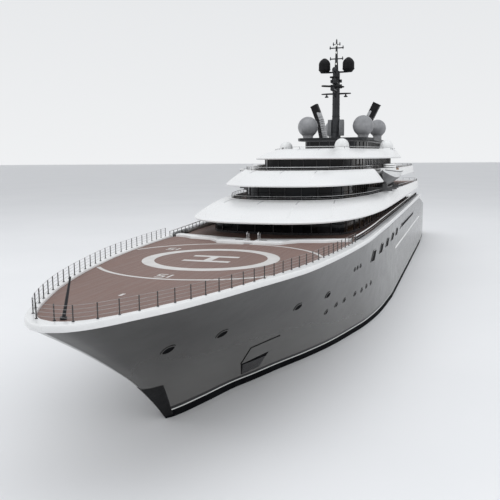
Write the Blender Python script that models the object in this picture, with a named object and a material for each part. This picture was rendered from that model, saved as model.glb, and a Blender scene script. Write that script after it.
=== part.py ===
"""Motor yacht, 1:10 scale model, as separate named pieces with real joints.

Every table and constant is in full-size ship metres, measured from the waterline amidships:
+X forward, +Y to port, +Z up. SCALE brings each vertex to the model's size.
"""
import math

import bmesh
import bpy
from mathutils import Matrix, Vector

# Driving dimensions, ship metres
SCALE = 0.1
GAP = 0.003                 # between pieces that touch, 0.3 mm on the model
STAFF_X = 65.2              # jackstaff
FIN_GAP = 0.4               # from the fin's seat to its blade
HALF_BEAM = 11.1
STRIPE_Z = 0.65             # line of the white stripe, top of the underwater form
SHEER_Z = 9.75              # hull's upper edge and main deck
FOREDECK_Z = 9.99           # helideck surface
MAIN_DECK_Z = 9.87          # brown walkway round the first deckhouse
CAP_TOP_Z = (10.15, 10.42)  # at the bow and along the side
KEEL_Z = -5.4
BOW_BODY_X = 30.0           # forward of this the stations follow the raked stem
TRANSOM_X = -63.5
STERN_X = -68.0
FLARE_POWER = 1.2
DECK_2_Z = 12.9
DECK_3_Z = 16.0
ROOF_Z = 19.05
SHAFT_Y, SHAFT_Z = 4.2, -3.75
PROP_X, PROP_RADIUS = -55.6, 1.6
RUDDER_X = -58.8
FIN_X = 2.0
MAST_X = -8.8
RADAR_X = -6.1
UPPER_RADAR_X = -7.35
SEA_DOOR_HINGE = (-63.73, 2.05)      # x, z

# Stem on the centreline: z, x
STEM = [(-5.4, 48.5), (-4.0, 50.9), (-1.4, 52.9), (-0.14, 53.7), (STRIPE_Z, 54.4), (2.2, 55.95),
        (3.9, 57.9), (5.9, 60.7), (7.6, 63.3), (SHEER_Z, 66.9)]
# Half-breadth at the hull's upper edge and at the stripe: distance aft of the stem, half-breadth
SHEER_LINE = [(0.0, 0.0), (0.35, 1.0), (1.4, 2.05), (3.6, 3.25), (6.0, 4.4), (9.7, 5.75), (13.2, 6.85),
              (16.7, 7.95), (19.9, 8.8), (26.9, 9.8), (33.4, 10.4), (38.9, 10.75), (51.9, HALF_BEAM)]
STRIPE_LINE = [(0.0, 0.0), (0.5, 0.4), (3.5, 1.5), (7.1, 2.6), (9.5, 3.6), (12.4, 4.7), (16.3, 6.3),
               (20.5, 7.75), (25.0, 8.9), (29.9, 9.95), (36.3, 10.7), (44.4, HALF_BEAM)]
# Inner edge of the bulwark cap, same columns, from its own tip
DECK_EDGE = [(0.0, 0.0), (0.3, 0.9), (1.2, 1.85), (2.7, 2.75), (5.2, 3.9), (8.2, 5.1), (14.2, 6.85),
             (22.2, 8.45), (30.2, 9.3), (38.2, 9.9), (46.2, 10.25), (56.0, 10.3)]
DECK_TIP_X = 66.1
CAP_END_X = -42.0
COAMING_SIDE_X = 32.4
# White step between helideck and walkway, port side: x, y along its front, then along its back
COAMING_FRONT = [(35.3, 0.0), (35.25, 3.2), (34.3, 3.75), (33.3, 4.7), (32.8, 7.0), (31.9, 8.1), (31.6, 9.0)]
COAMING_BACK = [(30.4, 9.3), (31.0, 7.8), (32.0, 4.4), (32.6, 2.4), (33.1, 0.0)]
# Keel line and the boxiness of the underwater sections: x, keel z, power
BOTTOM = [(56.0, KEEL_Z, 1.5), (40.0, KEEL_Z, 1.7), (20.0, KEEL_Z, 3.2), (0.0, KEEL_Z, 5.0),
          (-22.0, -5.3, 4.2), (-40.0, -3.9, 3.0), (-50.0, -2.6, 2.6), (-56.0, -2.0, 2.4),
          (TRANSOM_X, -1.5, 2.4)]
# Hull's upper edge aft: x, z; and the half-breadth as the stern narrows: x, half-breadth
AFT_SHEER = [(TRANSOM_X, 6.6), (-60.0, 7.2), (-40.0, SHEER_Z)]
AFT_BREADTH = [(TRANSOM_X, 10.3), (-58.0, 10.85), (-46.0, HALF_BEAM)]

# Shells over each deck, front to stern on the port side.
# Columns: lower edge x, y, z, then upper edge x, y, z
SHELL_A = [(33.6, 0.0, 11.7, 25.4, 0.0, 13.5), (33.4, 2.9, 11.7, 25.1, 2.5, 13.5),
           (32.5, 5.2, 11.7, 24.4, 4.4, 13.5), (31.0, 6.9, 11.7, 23.0, 5.9, 13.5),
           (28.6, 8.3, 11.72, 20.8, 7.0, 13.5), (25.0, 9.4, 11.75, 17.6, 7.9, 13.5),
           (20.0, 10.2, 11.8, 14.0, 8.6, 13.5), (14.0, 10.65, 11.85, 9.0, 9.1, 13.5),
           (4.0, 10.85, 11.9, 0.0, 9.7, 13.5), (-19.0, 11.0, 11.95, -19.0, 10.5, 13.4),
           (-37.0, 11.0, 11.95, -37.0, 10.7, 13.3), (-44.0, 10.6, 12.0, -44.0, 10.4, 13.2),
           (-47.4, 8.2, 12.0, -47.2, 8.1, 13.2), (-48.6, 4.4, 12.0, -48.4, 4.3, 13.2),
           (-49.0, 0.0, 12.0, -48.8, 0.0, 13.2)]
SHELL_B = [(26.6, 0.0, 14.95, 20.5, 0.0, 16.6), (26.4, 2.4, 14.95, 20.3, 2.1, 16.6),
           (25.5, 4.4, 14.95, 19.6, 4.0, 16.6), (23.9, 6.1, 14.95, 18.2, 5.2, 16.6),
           (21.6, 7.2, 14.95, 16.2, 6.2, 16.6), (18.4, 8.2, 14.95, 14.0, 7.2, 16.6),
           (14.5, 9.3, 14.95, 12.0, 8.0, 16.6), (11.2, 9.9, 14.95, 10.4, 8.6, 16.6),
           (10.2, 7.5, 14.95, 9.9, 7.5, 16.6), (-5.4, 7.5, 14.95, -5.4, 7.5, 16.4),
           (-6.4, 10.1, 14.95, -6.2, 9.9, 16.4), (-36.0, 10.1, 14.95, -36.0, 9.9, 16.3),
           (-40.5, 8.6, 14.95, -40.3, 8.5, 16.3), (-42.3, 5.0, 14.95, -42.1, 4.9, 16.3),
           (-43.0, 0.0, 14.95, -42.8, 0.0, 16.3)]
SHELL_C = [(14.6, 0.0, 17.85, 8.6, 0.0, 19.25), (14.5, 2.2, 17.85, 8.4, 1.8, 19.25),
           (14.0, 4.2, 17.85, 7.5, 3.2, 19.25), (12.6, 5.9, 17.85, 5.6, 4.6, 19.25),
           (9.4, 7.4, 17.85, 2.5, 5.8, 19.25), (5.0, 8.6, 17.85, -0.2, 6.5, 19.25),
           (-0.5, 9.4, 17.85, -3.2, 7.2, 19.25), (-5.0, 9.8, 17.85, -5.8, 9.15, 19.1),
           (-10.6, 10.0, 17.85, -10.6, 9.15, 19.1), (-13.4, 8.0, 17.85, -12.2, 7.5, 19.1),
           (-28.0, 7.4, 17.85, -28.0, 7.3, 19.2), (-32.0, 6.0, 17.85, -31.8, 5.9, 19.2),
           (-34.0, 3.4, 17.85, -33.8, 3.3, 19.2), (-34.5, 0.0, 17.85, -34.3, 0.0, 19.2)]
# Glazed houses, front to stern on the port side: x, y
HOUSE_1 = [(26.6, 0.0), (26.5, 3.0), (26.0, 5.6), (24.9, 7.3), (22.0, 8.2), (16.0, 8.7), (-38.0, 8.8),
           (-40.5, 6.0), (-41.0, 0.0)]
HOUSE_2 = [(21.8, 0.0), (21.3, 2.6), (19.8, 4.8), (17.3, 6.1), (14.0, 6.7), (-33.0, 6.7), (-35.5, 4.5),
           (-36.0, 0.0)]
HOUSE_3 = [(12.8, 0.0), (12.7, 2.4), (12.3, 4.6), (10.5, 5.8), (7.0, 6.4), (4.0, 6.6), (-28.0, 6.6),
           (-30.5, 4.5), (-31.0, 0.0)]
SUN_HOUSE = [(-3.6, 0.0), (-3.9, 3.5), (-6.5, 4.3), (-10.0, 5.0), (-28.0, 5.0), (-30.0, 3.6), (-30.4, 0.0)]
# Radar deck over the sun deck house, port side: x, y
RADAR_DECK = [(-4.2, 0.0), (-4.4, 4.7), (-5.6, 5.3), (-9.0, 6.0), (-13.0, 5.8), (-20.0, 5.4), (-28.0, 5.3),
              (-31.0, 4.2), (-31.6, 0.0)]
RADAR_DECK_Z = (20.6, 21.0)

# Globes: name, x, y, z of the centre, radius, z of the foot, material
GLOBES = [("dome_fwd_port", -8.25, 4.35, 22.83, 1.6, RADAR_DECK_Z[1], "dome_grey"),
          ("dome_fwd_stbd", -8.25, -4.35, 22.83, 1.6, RADAR_DECK_Z[1], "dome_grey"),
          ("dome_aft_port", -27.5, 4.1, 23.2, 1.55, RADAR_DECK_Z[1], "dome_grey"),
          ("dome_aft_stbd", -27.5, -4.1, 23.2, 1.55, RADAR_DECK_Z[1], "dome_grey"),
          ("dome_white_centre", 1.0, 2.75, 19.7, 1.03, ROOF_Z, "white_paint"),
          ("dome_white_port", -8.4, 7.95, 19.6, 1.02, ROOF_Z, "white_paint"),
          ("dome_white_stbd", -8.4, -7.95, 19.6, 1.02, ROOF_Z, "white_paint")]

# Scanners: name, x, z of the turning face, height of the hub, half length, turn at rest in degrees
SCANNERS = [("radar_scanner_main", RADAR_X, 28.35, 0.3, 2.0, 40.0),
            ("radar_scanner_upper", UPPER_RADAR_X, 29.5, 0.65, 0.75, 20.0)]
DAVIT_X = (-3.2, 5.6)
CRADLE_Z = (13.56, 13.8, 14.05)         # top of the posts, of the middle beams, of the boat's beams
# Tender hull, stern to bow: x, half-breadth, keel z, gunwale z
TENDER = [(-4.2, 1.45, 14.35, 16.2), (1.0, 1.6, 14.25, 16.25), (4.6, 1.5, 14.4, 16.35),
          (7.2, 1.0, 14.95, 16.5), (8.9, 0.2, 15.8, 16.65)]

COLOURS = {  # name: red, green, blue, roughness, metallic
    "hull_paint": (0.42, 0.42, 0.42, 0.12, 0.1), "white_paint": (0.85, 0.85, 0.84, 0.2, 0.0),
    "deck_brown": (0.26, 0.18, 0.155, 0.6, 0.0), "dark_glass": (0.012, 0.012, 0.014, 0.05, 0.0),
    "mast_grey": (0.03, 0.032, 0.036, 0.4, 0.2), "dome_grey": (0.14, 0.145, 0.15, 0.4, 0.0),
    "black_paint": (0.01, 0.01, 0.011, 0.35, 0.0), "bronze": (0.55, 0.36, 0.16, 0.3, 1.0),
    "steel": (0.6, 0.6, 0.6, 0.25, 1.0)}


def clear_scene():
    for old in list(bpy.data.objects):
        bpy.data.objects.remove(old, do_unlink=True)


def make_material(name):
    red, green, blue, roughness, metallic = COLOURS[name]
    made = bpy.data.materials.new(name)
    made.use_nodes = True
    shader = made.node_tree.nodes["Principled BSDF"]
    shader.inputs["Base Color"].default_value = (red, green, blue, 1.0)
    shader.inputs["Roughness"].default_value = roughness
    shader.inputs["Metallic"].default_value = metallic
    return made


def read_table(table, at, column=1):
    """Value of a column at a place, by monotone cubic steps between the table's rows."""
    rows = sorted(table)
    xs = [row[0] for row in rows]
    ys = [row[column] for row in rows]
    if at <= xs[0]:
        return ys[0]
    if at >= xs[-1]:
        return ys[-1]
    slopes = [(ys[k + 1] - ys[k]) / (xs[k + 1] - xs[k]) for k in range(len(xs) - 1)]
    ends = [slopes[0]]
    for before, after in zip(slopes, slopes[1:]):
        ends.append(0.0 if before * after <= 0 else 2 * before * after / (before + after))
    ends.append(slopes[-1])
    k = max(i for i in range(len(xs) - 1) if xs[i] <= at)
    width = xs[k + 1] - xs[k]
    t = (at - xs[k]) / width
    return ((2 * t**3 - 3 * t**2 + 1) * ys[k] + (t**3 - 2 * t**2 + t) * width * ends[k]
            + (3 * t**2 - 2 * t**3) * ys[k + 1] + (t**3 - t**2) * width * ends[k + 1])


def read_line(table, at):
    """Value at a place, by straight steps between the table's rows."""
    rows = sorted(table)
    if at <= rows[0][0]:
        return rows[0][1]
    for low, high in zip(rows, rows[1:]):
        if at <= high[0]:
            return low[1] + (high[1] - low[1]) * (at - low[0]) / (high[0] - low[0])
    return rows[-1][1]


def make_object(name, points, faces, material, origin=(0, 0, 0), smooth=0.0):
    """Object with its origin at a place on the ship, from points in ship metres."""
    mesh = bpy.data.meshes.new(name)
    centre = Vector(origin)
    mesh.from_pydata([(Vector(p) - centre) * SCALE for p in points], [], faces)
    tidy = bmesh.new()
    tidy.from_mesh(mesh)
    bmesh.ops.remove_doubles(tidy, verts=tidy.verts, dist=1e-6)
    bmesh.ops.recalc_face_normals(tidy, faces=tidy.faces)
    if tidy.calc_volume(signed=True) < 0:
        bmesh.ops.reverse_faces(tidy, faces=tidy.faces)
    tidy.to_mesh(mesh)
    tidy.free()
    if smooth:
        mesh.shade_smooth()
        mesh.set_sharp_from_angle(angle=math.radians(smooth))
    made = bpy.data.objects.new(name, mesh)
    made.location = centre * SCALE
    made.data.materials.append(bpy.data.materials[material])
    bpy.context.collection.objects.link(made)
    return made


def loft(rings, closed=True):
    """Points and faces of a solid through rings with equal numbers of points."""
    count = len(rings[0])
    points = [p for ring in rings for p in ring]
    faces = []
    for level in range(len(rings) - 1):
        for k in range(count if closed else count - 1):
            a, b = level * count + k, level * count + (k + 1) % count
            faces.append((a, b, b + count, a + count))
    faces.append(tuple(range(count))[::-1])
    faces.append(tuple(range(len(points) - count, len(points))))
    return points, faces


def mirrored(half):
    """Ring round the ship from its port half, listed from bow centre to stern centre."""
    return list(half) + [(p[0], -p[1], *p[2:]) for p in reversed(half[1:-1])]


def combine(name, mode, *others):
    """Boolean union or difference of finished pieces, kept as the first one's mesh."""
    base = bpy.data.objects[name]
    for other in others:
        step = base.modifiers.new(mode, "BOOLEAN")
        step.operation = mode
        step.solver = "EXACT"
        step.object = other
    bpy.context.view_layer.update()
    graph = bpy.context.evaluated_depsgraph_get()
    result = bpy.data.meshes.new_from_object(base.evaluated_get(graph))
    base.modifiers.clear()
    base.data = result
    for other in others:
        bpy.data.objects.remove(other, do_unlink=True)
    return base


def turned(profile, centre, axis=(0, 0, 1), sides=20):
    """Solid of revolution. Profile rows are distance along the axis and radius."""
    turn = Vector((0, 0, 1)).rotation_difference(Vector(axis).normalized()).to_matrix()
    place = Vector(centre)
    rings = []
    for along, radius in profile:
        ring = []
        for k in range(sides):
            angle = 2 * math.pi * k / sides
            spot = Vector((radius * math.cos(angle), radius * math.sin(angle), along))
            ring.append(tuple(place + turn @ spot))
        rings.append(ring)
    return loft(rings)


def block(low, high):
    """Points and faces of a box between two corners."""
    (x0, y0, z0), (x1, y1, z1) = low, high
    return loft([[(x0, y0, z), (x1, y0, z), (x1, y1, z), (x0, y1, z)] for z in (z0, z1)])


def rod(start, end, radius, sides=10):
    """Points and faces of a round bar between two places."""
    span = Vector(end) - Vector(start)
    return turned([(0, radius), (span.length, radius)], start, span, sides)


def plate(half, low, high):
    """Flat plate from a port half outline."""
    outline = mirrored(half)
    return loft([[(x, y, z) for x, y in outline] for z in (low, high)])


def sheer_height(x):
    return read_line(AFT_SHEER, x)


def breadth(x, z):
    """Half-breadth of the hull at a place, flared above the stripe and rounded below it."""
    stem = read_table(STEM, min(z, SHEER_Z))
    aft = max(stem - x, 0.0)
    side = min(read_table(STRIPE_LINE, aft), read_table(AFT_BREADTH, x) if x < 0 else HALF_BEAM)
    if z >= STRIPE_Z:
        upper = read_table(SHEER_LINE, aft) if x > 0 else read_table(AFT_BREADTH, x)
        rise = (z - STRIPE_Z) / (SHEER_Z - STRIPE_Z)
        return side + (upper - side) * rise**FLARE_POWER
    depth = (STRIPE_Z - z) / (STRIPE_Z - read_table(BOTTOM, x, 1))
    return side * math.sqrt(max(0.0, 1 - depth ** read_table(BOTTOM, x, 2)))


def build_hull():
    """Waterlines joined from stem to transom, each starting on the raked stem."""
    bow_steps = [1.0, 0.985, 0.955, 0.9, 0.82, 0.72, 0.6, 0.46, 0.32, 0.16]
    aft_stations = [BOW_BODY_X, 21, 12, 0, -12, -22, -31, -40, -46, -52, -57, -60, TRANSOM_X]
    levels = [("up", t) for t in (1.0, 0.84, 0.68, 0.5, 0.33, 0.16, 0.0)]
    levels += [("down", t) for t in (0.16, 0.34, 0.53, 0.72, 0.87, 0.96, 1.0)]
    port = []
    for side, part in levels:
        if side == "up":
            nominal = STRIPE_Z + (SHEER_Z - STRIPE_Z) * part
        else:
            nominal = STRIPE_Z - (STRIPE_Z - KEEL_Z) * part
        stem = read_table(STEM, nominal)
        row = []
        for x in [BOW_BODY_X + (stem - BOW_BODY_X) * v for v in bow_steps] + aft_stations:
            if side == "up":
                z = STRIPE_Z + (sheer_height(x) - STRIPE_Z) * part
            else:
                z = STRIPE_Z - (STRIPE_Z - read_table(BOTTOM, x, 1)) * part
            y = breadth(x, z)
            if part == 1.0 and side == "down":
                y = 0.25 if x < stem else 0.0
            row.append((x, 0.0 if x >= stem else max(y, 0.02), z))
        port.append(row)
    count = len(port[0])
    points = [p for row in port for p in row]
    points += [(x, -y, z) for row in port for x, y, z in row]
    shift = len(port) * count
    faces = []
    for j in range(len(port) - 1):
        for i in range(count - 1):
            a = j * count + i
            faces.append((a, a + 1, a + count + 1, a + count))
            faces.append((shift + a, shift + a + count, shift + a + count + 1, shift + a + 1))
        end = j * count + count - 1
        faces.append((end, shift + end, shift + end + count, end + count))
    for i in range(count - 1):
        for start in (0, (len(port) - 1) * count):
            a = start + i
            faces.append((a, a + 1, shift + a + 1, shift + a))
    points, faces = drop_doubles(points, faces)
    return make_object("hull", points, faces, "hull_paint", smooth=35)


def drop_doubles(points, faces):
    """Merge equal points, so that faces on the centreline lose their zero-length sides."""
    seen, index, kept = {}, [], []
    for p in points:
        key = tuple(round(c, 5) for c in p)
        if key not in seen:
            seen[key] = len(kept)
            kept.append(p)
        index.append(seen[key])
    clean = []
    for face in faces:
        corners = []
        for k in face:
            if index[k] not in corners:
                corners.append(index[k])
        if len(corners) > 2:
            clean.append(tuple(corners))
    return kept, clean


def add_underwater_fittings():
    """Bulb, shaft bossings, brackets, rudder and fin seats, joined to the hull."""
    parts = []
    bulb = [(-7.0, 0.5), (-5.5, 1.0), (-3.0, 1.3), (0.0, 1.35), (2.2, 1.15), (3.8, 0.75), (4.6, 0.3)]
    parts.append(make_object("bulb", *turned(bulb, (52.9, 0, -2.75), (1, 0, 0.02), 16), "hull_paint"))
    skeg = [(-24.0, -5.25), (-50.0, -4.9), (-50.8, -2.4), (-24.0, -3.2)]
    parts.append(make_object("skeg", *loft([[(x, y, z) for x, z in skeg] for y in (-0.3, 0.3)]),
                             "hull_paint"))
    for side in (1, -1):
        y = side * SHAFT_Y
        boss = [(0, 0.25), (4.0, 0.6), (9.0, 0.45), (10.0, 0.3)]
        parts.append(make_object("bossing", *turned(boss, (-35.0, y, SHAFT_Z), (-1, 0, 0)), "hull_paint"))
        ring = make_object("bracket_ring", *rod((-53.0, y, SHAFT_Z), (-54.2, y, SHAFT_Z), 0.34, 20),
                           "hull_paint")
        bore = make_object("bore", *rod((-52.5, y, SHAFT_Z), (-54.7, y, SHAFT_Z), 0.19, 24), "hull_paint")
        for reach in (-1.3, 1.3):
            arm = [(-53.1, -53.95), (-53.3, -54.1)]
            top = y + reach
            foot_z, head_z = SHAFT_Z + 0.26, -1.2
            rings = [[(arm[0][0], y + 0.2 * reach - 0.1, foot_z), (arm[0][1], y + 0.2 * reach - 0.1, foot_z),
                      (arm[0][1], y + 0.2 * reach + 0.1, foot_z), (arm[0][0], y + 0.2 * reach + 0.1, foot_z)],
                     [(arm[1][0], top - 0.1, head_z), (arm[1][1], top - 0.1, head_z),
                      (arm[1][1], top + 0.1, head_z), (arm[1][0], top + 0.1, head_z)]]
            ring = combine(ring.name, "UNION", make_object("arm", *loft(rings), "hull_paint"))
        parts.append(combine(ring.name, "DIFFERENCE", bore))
        parts[-1].name = "bracket_" + ("port" if side > 0 else "stbd")
        seat = rod((RUDDER_X, side * SHAFT_Y, -1.0), (RUDDER_X, side * SHAFT_Y, -2.1), 0.6, 20)
        parts.append(make_object("rudder_seat", *seat, "hull_paint"))
        root, outward = fin_root(side)
        seat = rod(root - outward * 1.2, root, 0.75, 20)
        parts.append(make_object("fin_seat", *seat, "hull_paint"))
    combine("hull", "UNION", *parts)


def fin_root(side):
    """Centre of the flat face that a stabiliser fin turns on, and its outward direction."""
    outward = Vector((0, side * math.cos(math.radians(38)), -math.sin(math.radians(38))))
    return Vector((FIN_X, side * 9.15, -4.35)), outward


def cap_lines():
    """Outer and inner plan points of the cap from the bow tip aft, close together round the nose."""
    reach, inner_reach = STEM[-1][1] - CAP_END_X, DECK_TIP_X - CAP_END_X
    lines = []
    for k in range(23):
        part = (k / 22) ** 2.2
        outer = Vector((STEM[-1][1] - reach * part, read_table(SHEER_LINE, reach * part)))
        inner = Vector((DECK_TIP_X - inner_reach * part, read_table(DECK_EDGE, inner_reach * part)))
        lines.append((outer, inner))
    return lines


def build_bulwark():
    """White rounded rail cap from port quarter round the bow to starboard quarter."""
    bow_top, side_top = CAP_TOP_Z
    swell = 0.28
    half = []
    for outer, inner in cap_lines():
        inward = inner - outer
        rise = min(1.0, max(0.0, (COAMING_SIDE_X - outer.x) / 18.0))
        top = bow_top + (side_top - bow_top) * rise * rise * (3 - 2 * rise)
        section = [(0.02, SHEER_Z + GAP), (-0.55, top - 0.3), (-0.75, top - 0.18), (-0.5, top - 0.07), (0.15, top),
                   (0.7, top - 0.02), (1.0, top - 0.12), (1.0, SHEER_Z + GAP)]
        ring = []
        for part, z in section:
            spot = outer + (inward.normalized() * part * swell if part < 0 else inward * part)
            ring.append((spot.x, spot.y, z))
        half.append(ring)
    rings = half[::-1] + [[(x, -y, z) for x, y, z in ring] for ring in half[1:]]
    return make_object("bulwark_cap", *loft(rings), "white_paint", smooth=40)


def edge_between(front, back):
    """Port points of the deck's edge just inside the cap, from one place on the ship to another."""
    edge = [(inner.x - 0.02, inner.y - 0.02) for outer, inner in cap_lines() if back + 1 < inner.x < front]
    return edge + [(back, read_table(DECK_EDGE, DECK_TIP_X - back) - 0.04)]


def build_foredeck():
    """Brown helideck and walkway, with the white step between them."""
    half = [(DECK_TIP_X - 0.02, 0.0)] + edge_between(DECK_TIP_X - 0.1, COAMING_SIDE_X) + COAMING_FRONT[::-1]
    deck = make_object("foredeck", *plate(half, SHEER_Z + GAP, FOREDECK_Z), "deck_brown")
    socket = rod((STAFF_X, 0, SHEER_Z - 0.1), (STAFF_X, 0, FOREDECK_Z + 0.1), 0.18 + 10 * GAP, 16)
    combine(deck.name, "DIFFERENCE", make_object("socket", *socket, "deck_brown"))
    half = [(x - 0.01, y) for x, y in COAMING_FRONT + COAMING_BACK]
    step = make_object("deck_coaming", *plate(half, SHEER_Z + GAP, 10.25), "white_paint")
    way = make_object("way", *block((32.5, -0.55, 10.02), (34.2, 0.55, 10.5)), "white_paint")
    combine(step.name, "DIFFERENCE", way)
    front = [(x - 0.02, y) for x, y in COAMING_BACK[::-1]]
    aft = CAP_END_X + 0.1
    half = front + edge_between(front[-1][0], aft) + [(aft, 0.0)]
    make_object("main_deck", *plate(half, SHEER_Z + GAP, MAIN_DECK_Z), "deck_brown")


def shell_rings(table, floor, soffit, rim, bulge):
    """Rings of a deck shell: soffit, lower lip, swelling front, bulwark top and recessed floor."""
    low = [(r[0], r[1], r[2]) for r in table]
    top = [(r[3], r[4], r[5]) for r in table]
    lip = [(x, y, z + 0.16) for x, y, z in low]
    middle = []
    for a, b in zip(lip, top):
        spread = min(1.0, abs(a[0] - b[0]) / 6.0)
        middle.append(tuple((p + q) / 2 for p, q in zip(a, b)))
        middle[-1] = (middle[-1][0], middle[-1][1], middle[-1][2] + bulge * spread)
    return [mirrored(ring) for ring in (
        inset(low, 0.7, soffit), inset(low, 0.12, None), lip, middle, top, inset(top, rim, None),
        inset(top, rim + 0.06, floor))]


def inset(half, distance, z):
    """Port half outline moved inwards along its own normals."""
    moved = []
    for k, (x, y, height) in enumerate(half):
        before = half[k - 1] if k else (x, -half[1][1], 0)
        after = half[k + 1] if k < len(half) - 1 else (x, -half[k - 1][1], 0)
        along = Vector((after[0] - before[0], after[1] - before[1]))
        normal = Vector((along.y, -along.x)).normalized()
        spot = Vector((x, y)) - normal * distance
        moved.append((spot.x, 0.0 if y == 0 else spot.y, height if z is None else z))
    return moved


def build_superstructure():
    """Three shells, each over its dark glazed house."""
    # name, letter, house, floor, shell, deck on top, soffit, rim, bulge
    levels = [("1", "a", HOUSE_1, MAIN_DECK_Z, SHELL_A, DECK_2_Z, 12.1, 0.3, 0.3),
              ("2", "b", HOUSE_2, DECK_2_Z, SHELL_B, DECK_3_Z, 15.15, 0.3, 0.25),
              ("3", "c", HOUSE_3, DECK_3_Z, SHELL_C, ROOF_Z, 18.05, 0.2, 0.2)]
    for number, letter, house, floor, shell, deck, soffit, rim, bulge in levels:
        make_object("deckhouse_" + number, *plate(house, floor + GAP, soffit - GAP), "dark_glass")
        rings = shell_rings(shell, deck, soffit, rim, bulge)
        make_object("deck_shell_" + letter, *loft(rings), "white_paint", smooth=35)
    make_object("sun_deck_house", *plate(SUN_HOUSE, ROOF_Z + GAP, RADAR_DECK_Z[0] - GAP), "dark_glass")
    make_object("radar_deck", *plate(RADAR_DECK, *RADAR_DECK_Z), "mast_grey")


def build_globes():
    """Each globe stands on a short drum, or is cut by the deck where it sits low."""
    for name, x, y, z, radius, foot, material in GLOBES:
        base = foot + GAP - z
        drum = base < -0.86 * radius
        first = -55.0 if drum else math.degrees(math.asin(base / radius))
        angles = [math.radians(first + (85 - first) * k / 8) for k in range(9)]
        profile = [(base, radius * 0.5), (-0.86 * radius, radius * 0.5)] if drum else []
        profile += [(radius * math.sin(a), radius * math.cos(a)) for a in angles]
        make_object(name, *turned(profile, (x, y, z)), material, smooth=40)


def build_mast():
    """Column with its foot, yards, radar brackets and two capsule globes as one welded piece."""
    foot = RADAR_DECK_Z[1] + GAP
    rings = []
    for z, long, wide in ((foot, 1.7, 1.15), (22.0, 1.3, 1.1), (23.9, 0.75, 0.7), (24.2, 0.62, 0.58),
                          (30.9, 0.58, 0.55), (31.3, 0.5, 0.45)):
        rings.append([(MAST_X + long * math.cos(a), wide * math.sin(a), z)
                      for a in [math.pi * k / 6 for k in range(12)]])
    mast = make_object("mast", *loft(rings), "mast_grey", smooth=35)
    bits = [block((MAST_X - 0.25, -2.3, 27.72), (MAST_X + 0.25, 2.3, 27.98)),
            block((MAST_X - 0.35, -2.45, 31.0), (MAST_X + 0.35, 2.45, 31.25)),
            block((MAST_X, -0.3, 28.1), (RADAR_X + 0.45, 0.3, 28.35)),
            block((MAST_X, -0.45, 29.3), (UPPER_RADAR_X + 0.3, 0.45, 29.5))]
    for side in (1, -1):
        low, high = sorted((side * 0.85, side * 1.25))
        bits.append(block((MAST_X - 0.7, low, foot + 0.4), (MAST_X + 0.7, high, 23.9)))
        bits.append(rod((MAST_X, side * 1.5, 27.1), (MAST_X, side * 1.5, 27.8), 0.2, 10))
        pod = [(0, 0.55), (0.22, 0.8), (0.4, 0.9), (1.25, 0.9), (1.7, 0.72), (2.0, 0.4), (2.15, 0.06)]
        bits.append(turned(pod, (MAST_X, side * 1.87, 31.15)))
    combine(mast.name, "UNION", *[make_object("bit", *bit, "mast_grey") for bit in bits])
    top = 31.3 + GAP
    make_object("topmast", *turned([(0, 0.3), (1.6, 0.22), (4.8, 0.1)], (MAST_X, 0, top), sides=10),
                "mast_grey", smooth=40)
    yards = [block((MAST_X - 0.1, -1.05, 33.05), (MAST_X + 0.1, 1.05, 33.23)),
             block((MAST_X - 0.1, -1.1, 34.68), (MAST_X + 0.1, 1.1, 34.86))]
    combine("topmast", "UNION", *[make_object("yard", *yard, "mast_grey") for yard in yards])


def build_radars():
    """Turning scanners: a long one on the forward bracket, a short one above it nearer the column."""
    for name, x, seat, tall, reach, turn in SCANNERS:
        base = Vector((x, 0, seat + GAP))
        hub = make_object(name, *rod(base, base + Vector((0, 0, tall)), 0.22, 16), "mast_grey", (x, 0, seat))
        spin = Matrix.Rotation(math.radians(turn), 3, "Z")
        points, faces = block((-0.14, -reach, tall - 0.08), (0.14, reach, tall + 0.2))
        points = [tuple(base + spin @ Vector(p)) for p in points]
        combine(hub.name, "UNION", make_object("bar", points, faces, "mast_grey"))


def build_funnels():
    """Two slabs that lean outboard and aft, with square ends."""
    # x, y, z of the middle, half length, half width, drop of the outer edge
    stations = [(-15.6, 3.3, RADAR_DECK_Z[1] + GAP, 1.2, 0.62, 0.0), (-16.2, 4.15, 24.2, 1.0, 0.58, 0.25),
                (-17.0, 5.3, 26.8, 0.9, 0.58, 0.28)]
    corners = [(-1, -0.7), (-0.7, -1), (0.7, -1), (1, -0.7), (1, 0.7), (0.7, 1), (-0.7, 1), (-1, 0.7)]
    for side, word in ((1, "port"), (-1, "stbd")):
        rings = [[(x + long * a, side * (y + wide * b), z - drop * b) for a, b in corners]
                 for x, y, z, long, wide, drop in stations]
        make_object("funnel_" + word, *loft(rings), "black_paint", smooth=30)


def build_tenders():
    """Boats stowed abreast of deck three, each on a cradle that slides outboard over the bulwark."""
    for side, word in ((1, "port"), (-1, "stbd")):
        centre = side * 9.45
        rings = []
        for x, wide, keel, gunwale in TENDER:
            rings.append([(x, centre + y, z) for y, z in (
                (0, keel), (wide * 0.85, keel + 0.55 * (gunwale - keel)), (wide, gunwale - 0.15),
                (wide * 0.9, gunwale), (-wide * 0.9, gunwale), (-wide, gunwale - 0.15),
                (-wide * 0.85, keel + 0.55 * (gunwale - keel)))])
        boat = make_object("tender_" + word, *loft(rings), "white_paint", smooth=30)
        cabin = block((-2.0, centre - 0.85, 16.0), (3.4, centre + 0.85, 17.1))
        combine(boat.name, "UNION", make_object("cabin", *cabin, "white_paint"))
        build_cradle(word, side, centre)


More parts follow.
